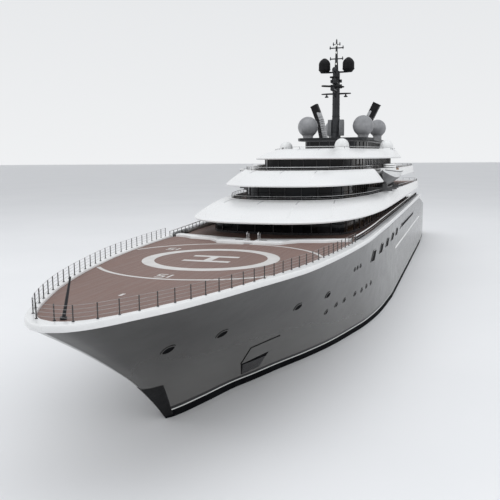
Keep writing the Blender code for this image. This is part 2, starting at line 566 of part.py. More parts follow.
def build_cradle(word, side, centre):
    """Posts welded to deck two, middle beams that slide on them, and the boat's beams on those."""
    posts_top, middle_top, boat_top = CRADLE_Z
    posts, middle, carrier = [], [], []
    for x in DAVIT_X:
        posts.append(block(*sided(side, (x - 0.25, 7.0, DECK_2_Z - 0.05), (x + 0.25, 8.6, posts_top))))
        middle.append(block(*sided(side, (x - 0.2, 7.1, posts_top + GAP), (x + 0.2, 10.4, middle_top))))
        carrier.append(block(*sided(side, (x - 0.2, 7.2, middle_top + GAP), (x + 0.2, 11.0, boat_top))))
        keel = min(read_line([(row[0], row[2]) for row in TENDER], x + step) for step in (-0.2, 0.2))
        carrier.append(block((x - 0.2, centre - 0.3, boat_top - 0.1), (x + 0.2, centre + 0.3, keel - GAP)))
    low, high = DAVIT_X
    middle.append(block(*sided(side, (low, 7.3, posts_top + 0.05), (high, 7.5, middle_top - 0.05))))
    carrier.append(block((low, centre - 0.12, middle_top + 0.05), (high, centre + 0.12, boat_top - 0.05)))
    combine("deck_shell_a", "UNION", *[make_object("post", *b, "white_paint") for b in posts])
    for name, beams in (("davit_stage_" + word, middle), ("davit_" + word, carrier)):
        base = make_object(name, *beams[0], "steel")
        combine(base.name, "UNION", *[make_object("beam", *b, "steel") for b in beams[1:]])


def sided(side, low, high):
    """Corners of a box given for the port side, mirrored to starboard when side is -1."""
    near, far = sorted((side * low[1], side * high[1]))
    return (low[0], near, low[2]), (high[0], far, high[2])


def build_stern():
    """Aft main deck block, bathing platform with hinge blocks, and the folding stern door."""
    half = [(-42.0, 0.0), (-42.0, 9.3), (-50.0, 9.3), (-54.0, 8.0), (-56.0, 4.5), (-56.4, 0.0)]
    outline = mirrored(half)
    rings = [[(x, y, sheer_height(x) + GAP) for x, y in outline],
             [(x, y, SHEER_Z + 0.05) for x, y in outline]]
    make_object("aft_deck", *loft(rings), "white_paint")
    half = [(TRANSOM_X - GAP, 0.0), (TRANSOM_X - GAP, 10.2), (-65.2, 9.9), (-66.8, 8.6), (-67.7, 6.0),
            (STERN_X, 0.0)]
    platform = make_object("swim_platform", *plate(half, 0.75, 1.2), "white_paint")
    hinge_x, hinge_z = SEA_DOOR_HINGE
    blocks = []
    for side in (1, -1):
        low, high = sorted((side * (4.6 + GAP), side * 5.0))
        ear = block((hinge_x - 0.3, low, 1.0), (TRANSOM_X - GAP, high, hinge_z + 0.2))
        blocks.append(make_object("hinge_block", *ear, "white_paint"))
    combine(platform.name, "UNION", *blocks)
    door = make_object("stern_door", *rod((hinge_x, -4.6, hinge_z), (hinge_x, 4.6, hinge_z), 0.16, 16),
                       "hull_paint", (hinge_x, 0, hinge_z))
    leaf = block((hinge_x - 0.12, -4.5, hinge_z), (hinge_x + 0.16, 4.5, hinge_z + 3.4))
    combine(door.name, "UNION", make_object("leaf", *leaf, "hull_paint"))


def build_drives():
    """Shafts with propellers, rudders and stabiliser fins."""
    for side, word in ((1, "port"), (-1, "stbd")):
        y = side * SHAFT_Y
        hub_front = PROP_X + 0.55
        make_object("shaft_" + word, *rod((-45.0 - GAP, y, SHAFT_Z), (hub_front + GAP, y, SHAFT_Z), 0.18, 20),
                    "steel", (PROP_X, y, SHAFT_Z), smooth=40)
        build_propeller("propeller_" + word, (PROP_X, y, SHAFT_Z), side)
        build_rudder("rudder_" + word, side)
        build_fin("stabiliser_" + word, side)


def build_propeller(name, centre, hand):
    hub = [(-0.55, 0.42), (0.0, 0.46), (0.45, 0.36), (0.8, 0.12)]
    base = make_object(name, *turned(hub, centre, (-1, 0, 0), 20), "bronze", centre, smooth=40)
    blades = []
    for k in range(5):
        spin = Matrix.Rotation(2 * math.pi * k / 5, 3, "X")
        rings = []
        for radius, chord, pitch in ((0.3, 0.5, 62), (0.75, 0.85, 44), (1.2, 0.9, 31), (PROP_RADIUS, 0.35, 24)):
            lean = Matrix.Rotation(math.radians(hand * pitch), 3, "Z")
            thick = 0.1 * (1.1 - radius / PROP_RADIUS) + 0.02
            ring = []
            for along, up in ((-0.5, 0), (0, 0.5), (0.5, 0), (0, -0.5)):
                spot = lean @ Vector((up * thick, along * chord, 0)) + Vector((0, 0, radius))
                ring.append(tuple(Vector(centre) + spin @ spot))
            rings.append(ring)
        blades.append(make_object("blade", *loft(rings), "bronze"))
    combine(base.name, "UNION", *blades)


def build_rudder(name, side):
    y = side * SHAFT_Y
    top = -2.1 - GAP
    stock = make_object(name, *rod((RUDDER_X, y, top), (RUDDER_X, y, top - 0.3), 0.22, 16), "hull_paint",
                        (RUDDER_X, y, top))
    rings = []
    for z, front, back in ((top - 0.15, 0.95, 1.75), (-5.2, 0.75, 1.3)):
        rings.append([(RUDDER_X + front, y, z), (RUDDER_X + front * 0.5, y + 0.22, z),
                      (RUDDER_X - back, y + 0.03, z), (RUDDER_X - back, y - 0.03, z),
                      (RUDDER_X + front * 0.5, y - 0.22, z)])
    combine(stock.name, "UNION", make_object("blade", *loft(rings), "hull_paint"))


def build_fin(name, side):
    root, outward = fin_root(side)
    start = root + outward * GAP
    shaft = make_object(name, *rod(start, root + outward * (FIN_GAP + 0.2), 0.3, 16), "hull_paint", root)
    across = Vector((1, 0, 0)).cross(outward)
    rings = []
    for reach, front, back in ((FIN_GAP, 1.3, 2.0), (2.6, 0.8, 1.6)):
        spot = root + outward * reach
        rings.append([tuple(spot + Vector((x, 0, 0)) + across * y) for x, y in (
            (front, 0), (front * 0.6, 0.2), (-back * 0.3, 0.22), (-back, 0.03),
            (-back, -0.03), (-back * 0.3, -0.22), (front * 0.6, -0.2))])
    combine(shaft.name, "UNION", make_object("blade", *loft(rings), "hull_paint"))


def build_jackstaff():
    """Staff at the bow, raked aft, its round foot on the hull through a hole in the deck."""
    foot = rod((STAFF_X, 0, SHEER_Z + GAP), (STAFF_X, 0, FOREDECK_Z + 0.15), 0.18, 12)
    base = make_object("jackstaff", *foot, "mast_grey")
    staff = turned([(0, 0.1), (1.1, 0.08), (2.2, 0.05)], (STAFF_X, 0, FOREDECK_Z + 0.06), (-0.38, 0, 1), 10)
    combine(base.name, "UNION", make_object("staff", *staff, "mast_grey"))


clear_scene()
for material_name in COLOURS:
    make_material(material_name)
build_hull()
add_underwater_fittings()
build_bulwark()
build_foredeck()
build_superstructure()
build_globes()
build_mast()
build_radars()
build_funnels()
build_tenders()
build_stern()
build_drives()
build_jackstaff()
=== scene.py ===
# %% [markdown]
# # A motor yacht at 1:10, surface by surface
# The CAD model is loaded first and never changed. Each visible piece is then worked out as a numpy
# grid in full-size ship metres (X forward, Y to port, Z up from the waterline), brought to the
# model's size by one factor, and laid over or in place of its CAD node.

import math

import bmesh
import bpy
import numpy as np
from mathutils import Matrix, Vector


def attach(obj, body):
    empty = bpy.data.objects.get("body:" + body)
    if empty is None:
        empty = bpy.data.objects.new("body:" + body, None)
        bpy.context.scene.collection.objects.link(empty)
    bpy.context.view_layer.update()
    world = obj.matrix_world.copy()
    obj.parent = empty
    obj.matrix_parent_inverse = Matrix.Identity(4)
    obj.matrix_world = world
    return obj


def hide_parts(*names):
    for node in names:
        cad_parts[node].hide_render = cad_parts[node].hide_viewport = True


SHIP = 0.1                  # model metres in one metre of the real ship
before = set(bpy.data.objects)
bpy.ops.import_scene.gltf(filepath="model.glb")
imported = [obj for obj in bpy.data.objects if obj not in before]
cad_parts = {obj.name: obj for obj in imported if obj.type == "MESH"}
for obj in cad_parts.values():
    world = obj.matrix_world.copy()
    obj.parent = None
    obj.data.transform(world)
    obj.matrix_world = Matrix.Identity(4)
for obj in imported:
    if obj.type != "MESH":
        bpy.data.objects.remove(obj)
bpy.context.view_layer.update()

# %% [markdown]
# ## Driving sizes
# A ship's form comes from a few lines: the stem in profile, the deck edge and the waterline in plan.
# The same tables drive the CAD solids, so the skin made here lies on them.

# %% Driving sizes in ship metres
HALF_BEAM = 11.1
STRIPE_Z, SHEER_Z, KEEL_Z = 0.65, 9.75, -5.4
FOREDECK_Z, MAIN_DECK_Z = 9.99, 9.87
DECK_2_Z, DECK_3_Z, ROOF_Z = 12.9, 16.0, 19.05
RADAR_DECK_Z = (20.6, 21.0)
CAP_TOP_Z = (10.15, 10.42)  # at the bow and along the side
BOW_BODY_X, TRANSOM_X, STERN_X = 30.0, -63.5, -68.0
DECK_TIP_X, CAP_END_X, COAMING_SIDE_X = 66.1, -42.0, 32.4
FLARE_POWER = 1.2
MAST_X, RADAR_X, UPPER_RADAR_X = -8.8, -6.1, -7.35
HELIDECK_X = 44.64
# Stem on the centreline: z, x
STEM = [(-5.4, 48.5), (-4.0, 50.9), (-1.4, 52.9), (-0.14, 53.7), (STRIPE_Z, 54.4), (2.2, 55.95),
        (3.9, 57.9), (5.9, 60.7), (7.6, 63.3), (SHEER_Z, 66.9)]
# Distance aft of the stem, half-breadth: at the deck edge and at the stripe
SHEER_LINE = [(0.0, 0.0), (0.35, 1.0), (1.4, 2.05), (3.6, 3.25), (6.0, 4.4), (9.7, 5.75), (13.2, 6.85),
              (16.7, 7.95), (19.9, 8.8), (26.9, 9.8), (33.4, 10.4), (38.9, 10.75), (51.9, HALF_BEAM)]
STRIPE_LINE = [(0.0, 0.0), (0.5, 0.4), (3.5, 1.5), (7.1, 2.6), (9.5, 3.6), (12.4, 4.7), (16.3, 6.3),
               (20.5, 7.75), (25.0, 8.9), (29.9, 9.95), (36.3, 10.7), (44.4, HALF_BEAM)]
# Inner edge of the bulwark cap, same columns, from its own tip
DECK_EDGE = [(0.0, 0.0), (0.3, 0.9), (1.2, 1.85), (2.7, 2.75), (5.2, 3.9), (8.2, 5.1), (14.2, 6.85),
             (22.2, 8.45), (30.2, 9.3), (38.2, 9.9), (46.2, 10.25), (56.0, 10.3)]
# Keel line and boxiness of the underwater sections: x, keel z, power
BOTTOM = [(56.0, KEEL_Z, 1.5), (40.0, KEEL_Z, 1.7), (20.0, KEEL_Z, 3.2), (0.0, KEEL_Z, 5.0),
          (-22.0, -5.3, 4.2), (-40.0, -3.9, 3.0), (-50.0, -2.6, 2.6), (-56.0, -2.0, 2.4),
          (TRANSOM_X, -1.5, 2.4)]
AFT_SHEER = [(TRANSOM_X, 6.6), (-60.0, 7.2), (-40.0, SHEER_Z)]
AFT_BREADTH = [(TRANSOM_X, 10.3), (-58.0, 10.85), (-46.0, HALF_BEAM)]


# %% [markdown]
# ## Numpy helpers
# A surface is a grid of points, rows by columns, and its faces follow from the grid's shape alone,
# so whole arrays are enough. Small repeated things, such as rail posts, are one array of prisms.

# %% Reading a table
def read_table(table, at, column=1):
    """Monotone cubic through the table: slopes are harmonic means of the steps on either side,
    so a curve never overshoots its rows."""
    rows = np.array(sorted(row[:1] + (row[column],) for row in table), float)
    xs, ys = rows[:, 0], rows[:, 1]
    width = np.diff(xs)
    slope = np.diff(ys) / width
    product = slope[:-1] * slope[1:]
    total = np.where(product > 0, slope[:-1] + slope[1:], 1.0)
    inner = np.where(product > 0, 2 * product / total, 0.0)
    ends = np.concatenate([slope[:1], inner, slope[-1:]])
    at = np.clip(np.asarray(at, float), xs[0], xs[-1])
    k = np.clip(np.searchsorted(xs, at, side="right") - 1, 0, len(xs) - 2)
    t = (at - xs[k]) / width[k]
    return ((2 * t**3 - 3 * t**2 + 1) * ys[k] + (t**3 - 2 * t**2 + t) * width[k] * ends[k]
            + (3 * t**2 - 2 * t**3) * ys[k + 1] + (t**3 - t**2) * width[k] * ends[k + 1])


def read_line(table, at):
    """Straight steps between the rows."""
    rows = np.array(sorted(table), float)
    return np.interp(at, rows[:, 0], rows[:, 1])


def smooth_outline(rows, count, mirror=True):
    """Points along the rows, each coordinate a monotone cubic of the distance travelled. The port
    half is continued across the centreline, so both ends meet it squarely."""
    rows = np.array(rows, float)
    flip = np.ones(rows.shape[1])
    flip[1] = -1
    if mirror:
        rows = np.vstack([rows[1:3][::-1] * flip, rows, rows[-3:-1][::-1] * flip])
    reach = np.concatenate([[0], np.cumsum(np.linalg.norm(np.diff(rows[:, :2], axis=0), axis=1))])
    first, last = (reach[2], reach[-3]) if mirror else (0, reach[-1])
    at = np.linspace(first, last, count)
    columns = [read_table([(s, value) for s, value in zip(reach, column)], at) for column in rows.T]
    return np.stack(columns, axis=1)


# %% Grids, prisms and turned forms
def grid_faces(rows, columns, around=False, ends=False):
    """Quads of a grid of points; around joins the last column to the first, ends the last row."""
    r, c = np.meshgrid(np.arange(rows if ends else rows - 1),
                       np.arange(columns if around else columns - 1), indexing="ij")
    right, up = (c + 1) % columns, (r + 1) % rows
    corners = [r * columns + c, r * columns + right, up * columns + right, up * columns + c]
    return np.stack([k.ravel() for k in corners], axis=1)


def surface(points, around=False, ends=False, flip=False):
    """A grid of points, rows by columns by 3, as vertices and quads."""
    points = np.asarray(points, float)
    faces = grid_faces(points.shape[0], points.shape[1], around, ends)
    return points.reshape(-1, 3), faces[:, ::-1] if flip else faces


def capped(points):
    """A closed tube of rings, its two ends shut by rows that shrink to their middles."""
    points = np.asarray(points, float)
    first, last = points[:1].mean(1, keepdims=True), points[-1:].mean(1, keepdims=True)
    first, last = np.broadcast_to(first, points[:1].shape), np.broadcast_to(last, points[-1:].shape)
    return surface(np.concatenate([first, points, last]), around=True)


def frames_along(direction):
    """Two unit vectors square to each direction, the first of them level where it can be."""
    unit = direction / np.linalg.norm(direction, axis=-1, keepdims=True)
    up = np.where(np.abs(unit[..., 2:]) > 0.95, [1.0, 0, 0], [0, 0, 1.0])
    side = np.cross(up, unit)
    side /= np.linalg.norm(side, axis=-1, keepdims=True)
    return side, np.cross(unit, side)


def prisms(starts, ends, wide, tall=None, sides=6, taper=1.0):
    """Straight bars from each start to each end: a round of points at both ends, closed by fans
    of quads. A square bar has four sides, turned to lie flat."""
    starts, ends = np.atleast_2d(starts).astype(float), np.atleast_2d(ends).astype(float)
    side, over = frames_along(ends - starts)
    square = sides == 4
    angle = 2 * np.pi * (np.arange(sides) + (0.5 if square else 0)) / sides
    grow = math.sqrt(2) if square else 1
    wide = np.broadcast_to(np.asarray(wide, float) * grow, len(starts))[:, None, None]
    tall = wide if tall is None else np.broadcast_to(np.asarray(tall, float) * grow, len(starts))[:, None, None]
    ring = (wide * np.cos(angle)[None, :, None] * side[:, None, :]
            + tall * np.sin(angle)[None, :, None] * over[:, None, :])
    points = np.stack([starts[:, None] + ring, ends[:, None] + ring * taper], axis=1)
    walls = grid_faces(2, sides, around=True)
    fan = np.array([[0, 2 * k + 1, 2 * k + 2, (2 * k + 3) % sides] for k in range((sides - 2) // 2)])
    one = np.vstack([walls, fan[:, ::-1], fan + sides])
    faces = one[None] + (np.arange(len(starts)) * 2 * sides)[:, None, None]
    return points.reshape(-1, 3), faces.reshape(-1, 4)


def box(low, high):
    """A box between two corners, as one square prism along X."""
    low, high = np.array(low, float), np.array(high, float)
    middle = (low + high) / 2
    start, end = middle.copy(), middle.copy()
    start[0], end[0] = low[0], high[0]
    return prisms(start, end, (high[1] - low[1]) / 2, (high[2] - low[2]) / 2, sides=4)


def turned(profile, centre, axis=(0, 0, 1), sides=48):
    """Profile rows (distance along the axis, radius) turned round the axis. A zero radius closes it."""
    profile = np.array(profile, float)
    axis = np.array(axis, float) / np.linalg.norm(axis)
    side, over = frames_along(axis[None])
    angle = 2 * np.pi * np.arange(sides) / sides
    around = np.cos(angle)[:, None] * side + np.sin(angle)[:, None] * over
    points = (np.array(centre, float) + profile[:, :1, None] * axis
              + profile[:, 1:, None] * around[None])
    return surface(points, around=True)


def tube(path, radius, sides=8):
    """A round rail along a path. Each ring is square to the path's direction there."""
    path = np.array(path, float)
    side, over = frames_along(np.gradient(path, axis=0))
    angle = 2 * np.pi * np.arange(sides) / sides
    radius = np.broadcast_to(radius, len(path))[:, None, None]
    ring = np.cos(angle)[None, :, None] * side[:, None] + np.sin(angle)[None, :, None] * over[:, None]
    return capped(path[:, None] + radius * ring)


def dome(centre, radius, lowest=-90.0, rows=24, sides=48, axis=(0, 0, 1)):
    """A globe: height r sin(a) and radius r cos(a), from the lowest angle up to the pole."""
    angle = np.radians(np.linspace(lowest, 90, rows))
    return turned(np.stack([radius * np.sin(angle), radius * np.cos(angle)], 1), centre, axis, sides)


def both_sides(parts):
    """The parts and their mirror image across the centreline, with the faces turned back outwards."""
    made = list(parts)
    for points, faces in parts:
        made.append((points * [1, -1, 1], faces[:, ::-1]))
    return made


# %% Making a piece
MATERIALS = {}
COUNT = {"pieces": 0, "faces": 0}


def piece(name, groups, body="ship", replaces=(), sharp=35.0):
    """Join groups of surfaces, each with its material, into one mesh and let it ride on a body."""
    points, faces, finish = [], [], []
    start = 0
    for index, (material, parts) in enumerate(groups):
        for vertices, quads in parts:
            points.append(vertices)
            faces.append(quads + start)
            finish.append(np.full(len(quads), index))
            start += len(vertices)
    points, faces, finish = np.vstack(points) * SHIP, np.vstack(faces), np.concatenate(finish)
    mesh = bpy.data.meshes.new(name)
    mesh.vertices.add(len(points))
    mesh.vertices.foreach_set("co", points.astype(np.float32).ravel())
    mesh.loops.add(faces.size)
    mesh.loops.foreach_set("vertex_index", faces.astype(np.int32).ravel())
    mesh.polygons.add(len(faces))
    mesh.polygons.foreach_set("loop_start", np.arange(0, faces.size, 4, dtype=np.int32))
    mesh.polygons.foreach_set("loop_total", np.full(len(faces), 4, np.int32))
    mesh.polygons.foreach_set("material_index", finish.astype(np.int32))
    mesh.update(calc_edges=True)
    mesh.validate()
    tidy = bmesh.new()
    tidy.from_mesh(mesh)
    bmesh.ops.remove_doubles(tidy, verts=tidy.verts, dist=2e-6)
    bmesh.ops.dissolve_degenerate(tidy, edges=tidy.edges, dist=1e-7)
    bmesh.ops.recalc_face_normals(tidy, faces=tidy.faces)
    tidy.to_mesh(mesh)
    tidy.free()
    mesh.shade_smooth()
    mesh.set_sharp_from_angle(angle=math.radians(sharp))
    made = bpy.data.objects.new(name, mesh)
    bpy.context.scene.collection.objects.link(made)
    for material, _ in groups:
        mesh.materials.append(MATERIALS[material])
    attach(made, body)
    if replaces:
        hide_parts(*([replaces] if isinstance(replaces, str) else replaces))
    COUNT["pieces"] += 1
    COUNT["faces"] += len(mesh.polygons)
    return made


# %% [markdown]
# ## Finishes
# Every finish is a node tree on Object coordinates, scaled to ship metres, so a plank is as wide as a
# plank wherever it lies. What is the same all over a surface is set on the shader's own sockets;
# only colour, roughness and bump that change from place to place are wired.

# %% Small node helpers
def node(tree, kind, inputs=(), **settings):
    """One shader node, with its inputs given as numbers, colours or other nodes' outputs."""
    made = tree.nodes.new(kind)
    for key, value in settings.items():
        setattr(made, key, value)
    for key, value in dict(inputs).items():
        if isinstance(value, bpy.types.NodeSocket):
            tree.links.new(value, made.inputs[key])
        else:
            made.inputs[key].default_value = value
    return made


def ship_place(tree):
    """Object coordinates in ship metres."""
    place = node(tree, "ShaderNodeTexCoord").outputs["Object"]
    return node(tree, "ShaderNodeVectorMath", {0: place, "Scale": 1 / SHIP}, operation="SCALE").outputs[0]


def split(tree, vector):
    return node(tree, "ShaderNodeSeparateXYZ", {0: vector}).outputs


def reckon(tree, operation, *values):
    return node(tree, "ShaderNodeMath", dict(enumerate(values)), operation=operation).outputs[0]


def stretch(tree, vector, scale):
    return node(tree, "ShaderNodeVectorMath", {0: vector, 1: scale}, operation="MULTIPLY").outputs[0]


def noise(tree, vector, scale, detail=3.0, roughness=0.55):
    return node(tree, "ShaderNodeTexNoise", {"Vector": vector, "Scale": scale, "Detail": detail,
                                             "Roughness": roughness}).outputs["Fac"]


def remap(tree, value, low, high, to_low, to_high):
    """Value from low to high, carried to to_low to to_high and held there outside."""
    return node(tree, "ShaderNodeMapRange", {0: value, 1: low, 2: high, 3: to_low, 4: to_high}).outputs[0]


def blend_colour(tree, factor, first, second):
    def linear(c):
        return c if isinstance(c, bpy.types.NodeSocket) else (*c, 1.0)
    made = node(tree, "ShaderNodeMix", {0: factor, 6: linear(first), 7: linear(second)}, data_type="RGBA")
    return made.outputs[2]


def shades(tree, factor, low, high):
    """A colour between two greys or tints, driven by a pattern."""
    return blend_colour(tree, factor, low, high)


def start_finish(name, colour, roughness, metallic=0.0, coat=0.0, coat_roughness=0.05, specular=0.5, ior=1.5):
    made = bpy.data.materials.new(name)
    made.use_nodes = True
    tree = made.node_tree
    shader = tree.nodes["Principled BSDF"]
    for key, value in (("Base Color", (*colour, 1.0)), ("Roughness", roughness), ("Metallic", metallic),
                       ("Coat Weight", coat), ("Coat Roughness", coat_roughness),
                       ("Specular IOR Level", specular), ("IOR", ior)):
        shader.inputs[key].default_value = value
    made.diffuse_color = (*colour, 1.0)
    MATERIALS[name] = made
    return tree, shader


def wire(tree, shader, **sockets):
    """Wire patterns to the shader: colour, roughness, or a height in ship metres as bump."""
    for key, value in sockets.items():
        if key == "height":
            height, depth = value
            bump = node(tree, "ShaderNodeBump", {"Height": height, "Distance": depth * SHIP, "Strength": 1.0})
            tree.links.new(bump.outputs[0], shader.inputs["Normal"])
        else:
            tree.links.new(value, shader.inputs[{"colour": "Base Color", "roughness": "Roughness"}[key]])


# %% [markdown]
# ### Paints
# The hull is a glossy grey, painted darker up high and paler low down, with long soft streaks:
# a painted reflection of the water that the gloss mirrors. Its plates are faired but not perfect: a bump
# a few centimetres deep over several metres bends what they mirror. The black boot-top and the white
# stripe are bands of height.

# %% Hull paint
def hull_finish():
    tree, shader = start_finish("hull_paint", (0.06, 0.06, 0.058), 0.16, 0.0, 0.0, specular=0.4)
    place = ship_place(tree)
    height = split(tree, place)[2]
    # Painted reflection: the long soft streaks and the colour paler low down, darker up high, stand for the water that
    # the gloss mirrors, not the paint's own tone
    cloud = noise(tree, stretch(tree, place, (0.05, 0.2, 0.2)), 1.0, 4.0)
    painted_low_reflection = remap(tree, height, 1.0, 7.0, 0.75, 0.0)
    share = reckon(tree, "MULTIPLY_ADD", remap(tree, cloud, 0.3, 0.7, 0.0, 1.0), 0.25, painted_low_reflection)
    grey = shades(tree, share, (0.02, 0.0195, 0.019), (0.125, 0.123, 0.119))
    white_line = reckon(tree, "COMPARE", height, STRIPE_Z + 0.02, 0.09)
    black_line = reckon(tree, "COMPARE", height, STRIPE_Z + 0.25, 0.13)
    colour = blend_colour(tree, black_line, grey, (0.008, 0.008, 0.009))
    colour = blend_colour(tree, white_line, colour, (0.72, 0.72, 0.71))
    rough = remap(tree, noise(tree, place, 0.8), 0.3, 0.7, 0.1, 0.18)
    fair = noise(tree, stretch(tree, place, (0.28, 0.28, 0.5)), 1.0, 2.0)
    wire(tree, shader, colour=colour, roughness=rough, height=(fair, 0.03))


hull_finish()


# %% White paint of the superstructure
def white_finish():
    tree, shader = start_finish("white_paint", (0.74, 0.74, 0.735), 0.3, 0.0, 0.3, 0.08)
    place = ship_place(tree)
    cloud = noise(tree, stretch(tree, place, (0.3, 0.3, 0.9)), 0.6, 4.0)
    colour = shades(tree, cloud, (0.685, 0.69, 0.69), (0.765, 0.765, 0.76))
    fine = noise(tree, place, 14.0, 2.0)
    wire(tree, shader, colour=colour, roughness=remap(tree, fine, 0.3, 0.7, 0.26, 0.36),
         height=(noise(tree, place, 0.7, 2.0), 0.012))


white_finish()


# %% [markdown]
# ### Planked decks
# The foredeck is a brown-mauve deck of narrow planks laid fore and aft. Planks come from the athwart
# coordinate: its whole part names the plank and picks a tint, its fraction finds the seam.

# %% Deck finishes
def planked_finish(name, dark, light, plank, seam_colour):
    tree, shader = start_finish(name, light, 0.62, 0.0, 0.0, specular=0.3)
    place = ship_place(tree)
    x, y, _ = split(tree, place)
    across = reckon(tree, "DIVIDE", y, plank)
    number = reckon(tree, "FLOOR", across)
    shift = node(tree, "ShaderNodeTexWhiteNoise", {"W": number}, noise_dimensions="1D").outputs["Value"]
    along = reckon(tree, "MULTIPLY_ADD", x, 0.24, reckon(tree, "MULTIPLY", shift, 7.0))
    butt = reckon(tree, "FLOOR", along)
    key = node(tree, "ShaderNodeCombineXYZ", {0: number, 1: butt}).outputs[0]
    tint = node(tree, "ShaderNodeTexWhiteNoise", {"Vector": key}, noise_dimensions="3D").outputs["Value"]
    wood = shades(tree, reckon(tree, "MULTIPLY_ADD", tint, 0.55, reckon(
        tree, "MULTIPLY", noise(tree, stretch(tree, place, (0.6, 9.0, 1.0)), 1.0, 5.0), 0.45)), dark, light)
    weather = noise(tree, place, 0.13, 4.0)
    wood = blend_colour(tree, remap(tree, weather, 0.4, 0.75, 0.0, 0.35), wood, light)
    seam = reckon(tree, "GREATER_THAN", reckon(tree, "ABSOLUTE", reckon(
        tree, "SUBTRACT", reckon(tree, "FRACT", across), 0.5)), 0.46)
    colour = blend_colour(tree, reckon(tree, "MULTIPLY", seam, 0.55), wood, seam_colour)
    wire(tree, shader, colour=colour, roughness=remap(tree, tint, 0.0, 1.0, 0.5, 0.72),
         height=(reckon(tree, "SUBTRACT", 1.0, seam), 0.006))


planked_finish("deck_brown", (0.152, 0.094, 0.079), (0.216, 0.141, 0.12), 0.16, (0.06, 0.04, 0.035))
planked_finish("teak", (0.2, 0.12, 0.065), (0.36, 0.235, 0.14), 0.12, (0.03, 0.025, 0.02))


# %% Deck marks, glass and the rest
def glass_finish(name, low, high, roughness):
    """Tinted glazing with a painted reflection: the pane's number, from a coarse grid, shifts its tint,
    because no two panes mirror the same thing, and a soft cloud veils it the same way."""
    tree, shader = start_finish(name, high, roughness, 0.0, 0.0, specular=0.22)
    place = ship_place(tree)
    cell = node(tree, "ShaderNodeVectorMath", {0: place, 1: (1.6, 1.6, 9.0)}, operation="SNAP").outputs[0]
    tint = node(tree, "ShaderNodeTexWhiteNoise", {"Vector": cell}, noise_dimensions="3D").outputs["Value"]
    reflection_veil = noise(tree, stretch(tree, place, (0.5, 0.5, 0.9)), 1.0, 3.0)
    colour = shades(tree, reckon(tree, "MULTIPLY", tint, reflection_veil), low, high)
    wire(tree, shader, colour=colour, height=(noise(tree, place, 0.5, 1.0), 0.004))


def plain_finish(name, low, high, roughness, scale, grain=0.0, metallic=0.0, coat=0.0, spread=0.06,
                 specular=0.5):
    """A finish with a cloudy tint, a matching change of gloss, and a fine grain as bump."""
    tree, shader = start_finish(name, high, roughness, metallic, coat, specular=specular)
    place = ship_place(tree)
    cloud = noise(tree, place, scale, 5.0)
    sockets = {"colour": shades(tree, remap(tree, cloud, 0.3, 0.7, 0.0, 1.0), low, high),
               "roughness": remap(tree, noise(tree, place, scale * 3.1), 0.3, 0.7, roughness - spread,
                                  roughness + spread)}
    if grain:
        sockets["height"] = (noise(tree, place, 22.0, 3.0), grain)
    wire(tree, shader, **sockets)


glass_finish("dark_glass", (0.0015, 0.0017, 0.002), (0.016, 0.018, 0.022), 0.05)
glass_finish("brown_glass", (0.006, 0.004, 0.0025), (0.06, 0.038, 0.022), 0.09)
plain_finish("mark_white", (0.49, 0.475, 0.46), (0.59, 0.575, 0.56), 0.5, 0.9, 0.002)
plain_finish("soft_grey", (0.3, 0.303, 0.31), (0.37, 0.373, 0.38), 0.45, 0.8, 0.002)
plain_finish("mast_grey", (0.014, 0.015, 0.017), (0.024, 0.025, 0.028), 0.42, 1.4, 0.003, specular=0.25)
plain_finish("deck_grey", (0.1, 0.103, 0.108), (0.15, 0.153, 0.158), 0.5, 1.4, 0.003)
plain_finish("dome_grey", (0.195, 0.197, 0.205), (0.3, 0.302, 0.312), 0.4, 0.7, 0.002, specular=0.35)
plain_finish("dome_white", (0.68, 0.685, 0.68), (0.76, 0.765, 0.76), 0.42, 0.8, 0.002)
plain_finish("black_paint", (0.004, 0.004, 0.005), (0.009, 0.009, 0.01), 0.5, 1.7, 0.002, specular=0.12)
plain_finish("opening_dark", (0.002, 0.002, 0.0025), (0.005, 0.005, 0.006), 0.6, 1.1, 0.001, specular=0.02)
plain_finish("antifouling", (0.003, 0.003, 0.004), (0.008, 0.009, 0.01), 0.7, 1.2, 0.004, specular=0.02)
plain_finish("frame_dark", (0.018, 0.018, 0.02), (0.03, 0.03, 0.033), 0.3, 2.0, 0.001)
plain_finish("steel", (0.5, 0.5, 0.5), (0.62, 0.62, 0.62), 0.22, 2.4, 0.001, metallic=1.0)
plain_finish("cradle_grey", (0.07, 0.07, 0.072), (0.1, 0.1, 0.103), 0.4, 2.4, 0.002)
plain_finish("bronze", (0.42, 0.26, 0.1), (0.6, 0.39, 0.17), 0.26, 1.8, 0.002, metallic=1.0)
plain_finish("rubber", (0.012, 0.012, 0.012), (0.025, 0.025, 0.025), 0.6, 3.0, 0.003)
plain_finish("wire_grey", (0.3, 0.3, 0.3), (0.4, 0.4, 0.4), 0.35, 3.0, 0.0, metallic=0.6)
plain_finish("post_dark", (0.025, 0.024, 0.024), (0.045, 0.043, 0.042), 0.35, 3.0, 0.001)
plain_finish("flag_cloth", (0.6, 0.6, 0.6), (0.72, 0.72, 0.72), 0.8, 1.5, 0.004, specular=0.1)
plain_finish("lamp_glass", (0.7, 0.7, 0.66), (0.85, 0.85, 0.8), 0.12, 3.0)
plain_finish("lamp_red", (0.35, 0.02, 0.015), (0.45, 0.03, 0.02), 0.15, 3.0)
plain_finish("lamp_green", (0.01, 0.22, 0.08), (0.015, 0.3, 0.1), 0.15, 3.0)
print("finishes:", len(MATERIALS))

# %% [markdown]
# ## The hull's skin
# A displacement hull is plated over frames: wide flare above, round bilge below, a raked stem and a
# bulb. It could be subdivided from a cage, but the CAD form already has a formula for its
# half-breadth, so the skin is that formula read on a much finer grid.

